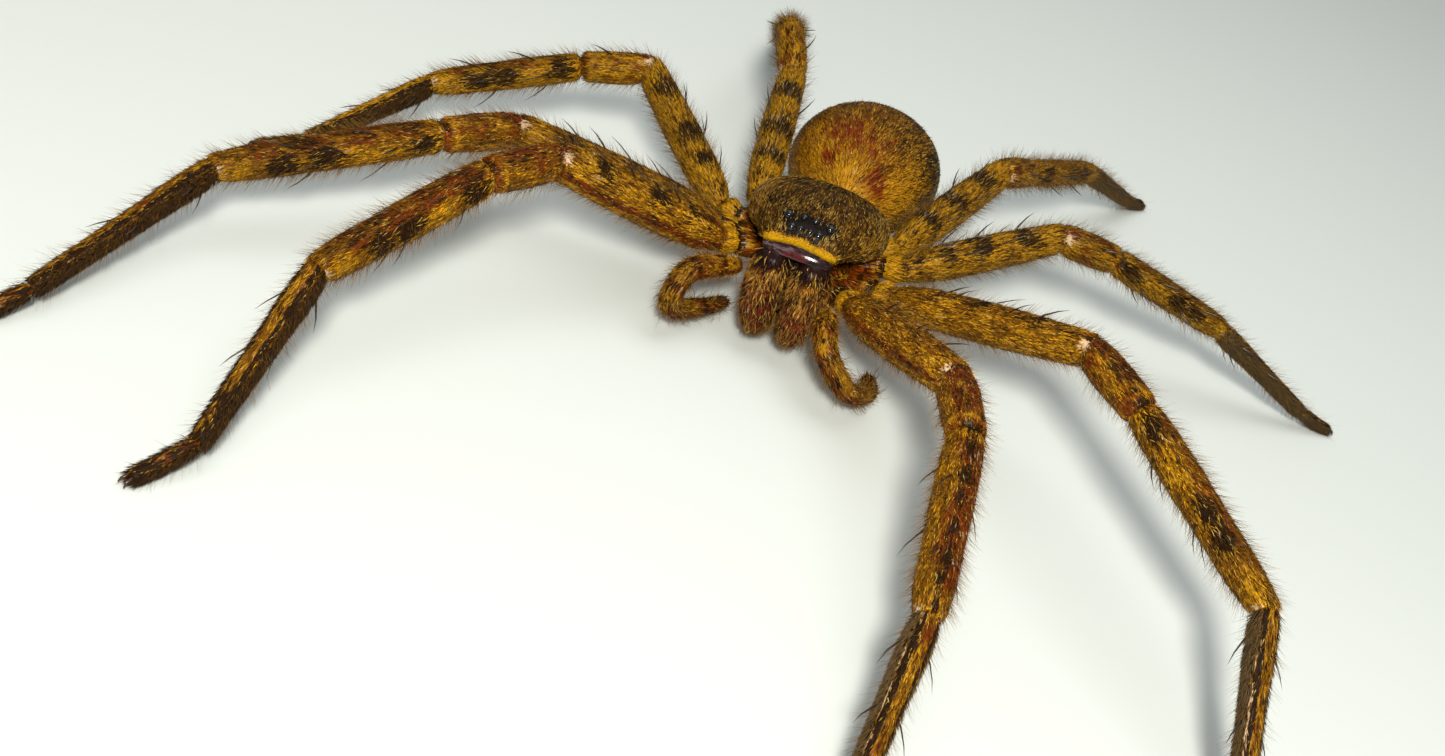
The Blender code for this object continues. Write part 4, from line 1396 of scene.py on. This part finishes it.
def tubeThrough(name, path, radii, material, back=(0, 0, 1), sides=20, flatness=1.0, perStep=7,
                space=toModel):
    # A smooth tube through a few centres, and where its points are on it
    path = np.array(path, float)
    knots = np.arange(len(path))
    steps = np.linspace(0, len(path) - 1, (len(path) - 1) * perStep + 1)
    centres = np.column_stack([easeThrough(np.column_stack((knots, path[:, k])), steps) for k in range(3)])
    sizes = easeThrough(np.column_stack((knots, radii)), steps)
    angles = circleAngles(sides)
    tangents = unit(np.gradient(centres, axis=0))
    along = np.concatenate(([0], np.cumsum(np.linalg.norm(np.diff(centres, axis=0), axis=1))))
    rings = []
    for centre, size, tangent in zip(centres, sizes, tangents):
        up = squareTo(np.array(back, float), tangent)
        rings.append(ringAround(centre, np.cross(up, tangent), up, size, size * flatness, angles))
    flow, unwrap = straighten(angles, along, sizes)
    turn = bodyTurn if space is toModel else np.eye(3)
    return {
        "skin": loftSkin(name, rings, material, space),
        "points": np.concatenate(rings),
        "flow": flow,
        "lie": np.repeat(tangents, sides, axis=0) @ turn.T,
        "unwrap": unwrap,
        "step": np.repeat(steps, sides),
        "angle": np.tile(angles, len(rings)),
    }


def dressTube(tube, flowStart, marks, bare=0):
    dress(tube["skin"], tube["flow"] + np.array((flowStart, 0, 0)), tube["lie"], marks, bare, tube["unwrap"])


def mirrored(path, sign):
    return [(sign * x, y, z) for x, y, z in path]


jawShape = {
    "path": ((1.3, -4.9, 0.2), (1.36, -5.15, 0.0), (1.42, -5.5, -0.55), (1.45, -5.95, -1.8),
             (1.40, -6.45, -3.3), (1.26, -6.85, -4.4), (1.18, -7.0, -4.85), (1.16, -7.02, -4.95)),
    "radii": (0.5, 0.95, 1.22, 1.36, 1.24, 0.94, 0.6, 0.15),
    "fangPath": ((1.17, -6.5, -5.2), (1.15, -6.3, -5.42), (1.0, -5.9, -5.45), (0.75, -5.4, -5.22),
                 (0.5, -5.1, -4.85), (0.44, -5.03, -4.76)),
    "fangRadii": (0.28, 0.26, 0.23, 0.15, 0.06, 0.02),
    "flowStart": 700,
    "seed": 91,
    "coat": {"count": 6500, "length": 0.75, "width": 0.07, "lift": 20, "turn": 16,
             "bend": 0.5, "sections": ((0, 1.0), (0.55, 0.8))},
    "bristles": {"count": 420, "length": 1.0, "vary": 0.4, "width": 0.045, "lift": 45, "liftVary": 14,
                 "turn": 35, "bend": 0.4, "sections": bentSections, "flat": 1.0},
}


def makeJaws(materials):
    for side, sign in bothSides:
        name = f"{side}_chelicera"
        path = mirrored(jawShape["path"], sign)
        jaw = tubeThrough(name + "_skin", path, jawShape["radii"], materials["jawSkin"], (0, -1, 0), 32, 1.06)
        x, y, z = jaw["points"].T
        high = ramp(z, -0.5, 0.3)
        inner = swell(np.abs(x), 0.1, 0.25)
        # painted shade: darker on the inner faces, where the two jaws meet
        dark = 0.46 + 0.9 * high + 0.7 * inner + 0.15 * ramp(-z, 3.5, 4.8)
        rust = 0.48 + 0.5 * ramp(-z, 0.6, 3.0)
        gold = 0.44 - 0.3 * ramp(-z, 2.0, 4.0) - 0.3 * high
        dressTube(jaw, jawShape["flowStart"] + sign * 20, (dark, rust, 0, gold), ramp(z, -0.25, 0.35))
        skin = jaw["skin"]
        finishPiece(skin, "chelicera", name)
        draw = np.random.default_rng(jawShape["seed"] + sign)
        weights = (y < -5.0) + 0.9 * inner
        growHair(skin, name + "_coat", "chelicera", draw, jawShape["coat"], materials["jawCoat"], weights)
        weights = (y < -5.2) * (0.3 + ramp(-z, 3.0, 4.5))
        hair = jawShape["bristles"]
        growHair(skin, name + "_bristles", "chelicera", draw, hair, materials["fringe"], weights)
        path = mirrored(jawShape["fangPath"], sign)
        fang = tubeThrough(f"{side}_fang_horn", path, jawShape["fangRadii"], materials["fang"], sides=16)
        finishPiece(fang["skin"], "fang", f"{side}_fang")


palpShape = {
    "left": ((3.35, -5.8, 4.3), (3.75, -7.3, 4.8), (4.1, -9.1, 4.9), (5.0, -10.3, 4.1), (7.1, -10.4, 2.4),
             (8.35, -8.1, 1.6), (7.95, -6.7, 1.7)),
    "right": ((-3.6, -5.1, 4.5), (-4.6, -6.9, 4.9), (-5.8, -9.0, 5.1), (-6.3, -10.2, 4.2), (-6.2, -10.2, 2.3),
              (-4.7, -7.5, 1.6), (-3.6, -5.4, 1.5)),
    "radii": (0.5, 0.72, 0.78, 0.76, 0.7, 0.62, 0.42, 0.12),
    "tip": 0.1,  # how far it reaches past the last place, as a share of the step to it
    "flowStart": {"left": 800, "right": 840},
    "seed": 101,
    "coat": {"count": 4200, "length": 0.5, "width": 0.065, "lift": 18, "turn": 18},
    "bristles": {"count": 600, "length": 0.95, "vary": 0.4, "width": 0.036, "lift": 52, "liftVary": 14,
                 "turn": 30, "bend": 0.35, "sections": bentSections, "flat": 1.0},
}


def fromStance(points):
    return points - np.array(poseShift)


def makePalps(materials):
    for side, _ in bothSides:
        name = f"{side}_palp"
        path = np.array(palpShape[side])
        path = np.vstack((path, path[-1] + (path[-1] - path[-2]) * palpShape["tip"]))
        palp = tubeThrough(name + "_skin", path, palpShape["radii"], materials["palpSkin"],
                           sides=24, perStep=9, space=fromStance)
        step = palp["step"]
        near = np.abs(step - np.round(step))
        knuckle = swell(near, 0, 0.09) * (step > 0.5) * (step < 5.5)
        edge = swell(np.sin(palp["angle"]), -0.25, 0.3)
        dark = 0.24 + 0.9 * knuckle + 0.45 * ramp(step, 4.8, 5.8)
        dark = dark + 0.6 * swell(step, 2.5, 0.22) + 0.5 * swell(step, 3.6, 0.22)
        rust = 0.5 + 0.3 * ramp(step, 4.5, 6) + 0.8 * edge + 0.5 * swell(near, 0.14, 0.08)
        gold = 0.55 - 0.4 * ramp(step, 4.5, 5.6) - 0.3 * edge
        dressTube(palp, palpShape["flowStart"][side], (dark, rust, 0, gold), knuckle * 0.6)
        finishPiece(palp["skin"], "palp", name)
        draw = np.random.default_rng(palpShape["seed"] + len(side))
        growHair(palp["skin"], name + "_coat", "palp", draw, palpShape["coat"], materials["legCoat"])
        growHair(palp["skin"], name + "_bristles", "palp", draw, palpShape["bristles"], materials["fringe"])


undersideShape = {
    # Along the body: place, half width and depth
    "sternum": ((-3.3, 1.9, 1.6), (-2.6, 2.9, 2.2), (-0.8, 3.6, 2.6), (1.2, 3.5, 2.6), (2.9, 2.6, 2.2),
                (3.8, 1.3, 1.5)),
    "lobe": ((1.2, -2.2, -1.9), (1.3, -2.5, -2.05), (1.35, -3.4, -2.6), (1.1, -4.2, -3.3),
             (1.05, -4.35, -3.42)),
    "lobeRadii": (0.5, 0.78, 0.85, 0.5, 0.12),
    "lip": ((0, -2.6, -2.35), (0, -3.1, -2.6), (0, -3.7, -2.85), (0, -3.85, -2.9)),
    "lipRadii": (0.5, 0.62, 0.5, 0.15),
    "flowStart": {"sternum": 900, "lobe": 950, "lip": 980},
    "seed": 111,
    "coat": {"count": 5000, "length": 0.45, "width": 0.055, "lift": 25, "liftVary": 10, "turn": 20},
    "lobeCount": 1200,
}


def makeUnderside(materials):
    shape, starts = undersideShape, undersideShape["flowStart"]
    angles = circleAngles(48)
    stations = np.array(shape["sternum"])
    places = np.linspace(stations[0, 0], stations[-1, 0], 40)
    halves = easeThrough(stations[:, (0, 1)], places) * 0.97
    depths = easeThrough(stations[:, (0, 2)], places) * 0.98
    c, s = np.cos(angles), np.sin(angles)
    rings = []
    for place, half, depth in zip(places, halves, depths):
        rings.append(np.column_stack((half * c, np.full(len(c), place), -0.35 - depth * (1 - s) / 2)))
    skin = loftSkin("sternum_skin", rings, materials["undersideSkin"])
    points = np.concatenate(rings)
    x, y, z = points.T
    edge = ramp(np.abs(x) / np.repeat(halves, len(angles)), 0.6, 1)
    over = ramp(z, -1.6, -0.9)  # dark red and bare where it shows beside the jaws
    marks = (0.15 + 0.35 * edge + 0.4 * over, 0.4 + 0.7 * over, 0, 0.6 - 0.2 * edge - 0.5 * over)
    unwrap = np.column_stack(((x + 5) / 10, (y + 5) / 10))
    flow = points + np.array((starts["sternum"], 0, 0))
    dress(skin, flow, bodyTurn @ np.array((0, 1.0, 0)), marks, 0.8 * over, unwrap)
    finishPiece(skin, "underside", "sternum")
    draw = np.random.default_rng(shape["seed"])
    hair, coat = shape["coat"], materials["legCoat"]
    growHair(skin, "sternum_coat", "underside", draw, hair, coat, (z < -1.4) + 1e-9)
    hair = {**hair, "count": shape["lobeCount"]}
    for side, sign in bothSides:
        name = f"{side}_mouth_lobe"
        path = mirrored(shape["lobe"], sign)
        lobe = tubeThrough(name, path, shape["lobeRadii"], materials["undersideSkin"], flatness=0.75)
        dressTube(lobe, starts["lobe"] + 10 * sign, (0.2, 0.8, 0, 0.3))
        finishPiece(lobe["skin"], "underside")
        growHair(lobe["skin"], name + "_coat", "underside", draw, hair, coat)
    lip = tubeThrough("lip", shape["lip"], shape["lipRadii"], materials["undersideSkin"], flatness=0.6)
    dressTube(lip, starts["lip"], (0.6, 0.8, 0, 0.1))
    finishPiece(lip["skin"], "underside")


waistShape = {
    "path": ((0, 3.9, -1.1), (0.05, 4.4, -1.08), (0.1, 4.7, -1.05), (0.2, 5.3, -1.0), (0.22, 5.9, -0.95)),
    "radii": (0.6, 0.7, 0.6, 0.7, 0.6),
    "flowStart": 1000,
}
spinneretShape = {
    # Aside, up, length and half width
    "pairs": ((0.55, 0.3, 1.5, 0.33), (0.3, -0.05, 1.1, 0.27), (0.55, -0.4, 1.4, 0.36)),
    "below": -0.9,  # the abdomen's end
    "inside": 0.7,  # the length that is hidden in the abdomen
    "shares": (0, 0.5, 0.8, 0.97, 1),
    "radii": (1, 1, 0.85, 0.5, 0.1),
    "flowStart": 1020,
    "seed": 121,
    "coat": {"count": 420, "length": 0.45, "vary": 0.3, "width": 0.05, "lift": 22, "turn": 16,
             "flat": 0.7},
}


def makeWaistAndSpinnerets(materials):
    waist = tubeThrough("waist", waistShape["path"], waistShape["radii"], materials["undersideSkin"])
    dressTube(waist, waistShape["flowStart"], (0.3, 0.7, 0.3 * swell(waist["step"], 2, 0.7), 0.2), 0.8)
    finishPiece(waist["skin"], "underside", "pedicel")
    shape = spinneretShape
    behind = abdomenShape["size"][1] / 2 + 0.2
    base = np.array(abdomenShape["centre"]) + np.array((0, behind, shape["below"]))
    replaced = ["spinnerets"]
    draw = np.random.default_rng(shape["seed"])
    for pair, (aside, rise, reach, half) in enumerate(shape["pairs"]):
        for side, sign in bothSides:
            name = f"{side}_spinneret_{pair + 1}"
            start = base + np.array((sign * aside, -0.5, rise))
            way = unit(np.array((sign * 0.25, 1, rise * 0.4))) * (reach + shape["inside"])
            path = [start + way * share for share in shape["shares"]]
            radii = [half * share for share in shape["radii"]]
            tube = tubeThrough(name, path, radii, materials["abdomenSkin"], sides=18, perStep=6)
            marks = (0.35 + 0.2 * ramp(tube["step"], 2, 4), 0.5, 0, 0.45)
            dressTube(tube, shape["flowStart"] + pair * 10 + sign * 4, marks)
            finishPiece(tube["skin"], "abdomen", *replaced)
            replaced = []
            growHair(tube["skin"], name + "_coat", "abdomen", draw, shape["coat"], materials["abdomenCoat"])


# Finishes

carapaceColours = {"ochre": (0.105, 0.042, 0.003), "gold": (0.48, 0.23, 0.008), "dark": (0.008, 0.004, 0.002)}
abdomenColours = {
    "gold": (0.64, 0.29, 0.007),
    "ochre": (0.23, 0.082, 0.002),
    "rust": (0.26, 0.034, 0.001),
    "dark": (0.036, 0.018, 0.002),
}
jawColours = {
    "gold": (0.42, 0.195, 0.026),
    "ochre": (0.17, 0.056, 0.008),
    "rust": (0.17, 0.030, 0.010),
    "dark": (0.014, 0.005, 0.004),
}
clypeusColours = {
    "gold": (0.05, 0.012, 0.012),
    "ochre": (0.03, 0.008, 0.010),
    "rust": (0.07, 0.006, 0.005),
    "dark": (0.006, 0.003, 0.004),
    # the pale here is the painted highlight along the ledge's lip
    "pale": (0.075, 0.052, 0.058),
}


def buildMaterials():
    marblingGroup()
    return {
        "legSkin": skinMaterial("legSkin"),
        "legCoat": coatMaterial("legCoat"),
        "carapaceSkin": skinMaterial("carapaceSkin", carapaceColours, shine=0.08, ragged=0.8),
        "carapaceCoat": coatMaterial("carapaceCoat", carapaceColours, 0.5, 0.1, 0.75),
        "abdomenSkin": skinMaterial("abdomenSkin", abdomenColours),
        "abdomenCoat": coatMaterial("abdomenCoat", abdomenColours, 0.34, 0.07, 0.9),
        "jawSkin": skinMaterial("jawSkin", jawColours),
        "jawCoat": coatMaterial("jawCoat", jawColours, 0.4, 0.08),
        "palpSkin": skinMaterial("palpSkin"),
        "undersideSkin": skinMaterial("undersideSkin"),
        "clypeus": skinMaterial("clypeus", clypeusColours, (0.5, 0.14), 0.1, 0.4),
        "bandHair": plainHairMaterial("bandHair", (0.70, 0.28, 0.004), (1.0, 0.60, 0.012)),
        "paleHair": plainHairMaterial("paleHair", (0.30, 0.21, 0.10), (0.75, 0.63, 0.42)),
        "goldHair": plainHairMaterial("goldHair", (0.20, 0.11, 0.02), (0.66, 0.44, 0.11)),
        "fringe": plainHairMaterial("fringe", (0.10, 0.048, 0.006), (0.34, 0.175, 0.035)),
        "bristle": plainHairMaterial("bristle", (0.05, 0.025, 0.006), (0.26, 0.15, 0.045)),
        "brush": plainHairMaterial("brush", (0.045, 0.026, 0.010), (0.21, 0.135, 0.06), 0.6),
        # painted shade: a darker copy of the brush finish, for the right legs
        "shadedBrush": plainHairMaterial("shadedBrush", (0.018, 0.009, 0.003), (0.075, 0.038, 0.014), 0.6),
        "spine": hornMaterial("spine", (0.006, 0.004, 0.003), (0.03, 0.014, 0.008), 0.32),
        "claw": hornMaterial("claw", (0.012, 0.006, 0.004), (0.06, 0.025, 0.012), 0.3),
        "fang": hornMaterial("fang", (0.02, 0.006, 0.004), (0.09, 0.015, 0.008), 0.15, 0.4),
        "eye": hornMaterial("eye", (0.0015, 0.0015, 0.002), (0.003, 0.003, 0.004), 0.05, 0.45, 0.4),
    }


# The scene

addCamera()
addLights()
addFloor()
print("camera, light and floor ready")
materials = buildMaterials()
print("finishes ready")
makeCarapace(materials)
makeEyes(materials)
makeClypeus(materials)
makeJaws(materials)
makePalps(materials)
print("head and jaws ready")
makeUnderside(materials)
makeAbdomen(materials)
makeWaistAndSpinnerets(materials)
print("underside and abdomen ready")
for legSide, legNumbers in hips.items():
    for legNumber in legNumbers:
        makeLeg(legSide, legNumber, materials)
    print(legSide, "legs ready")
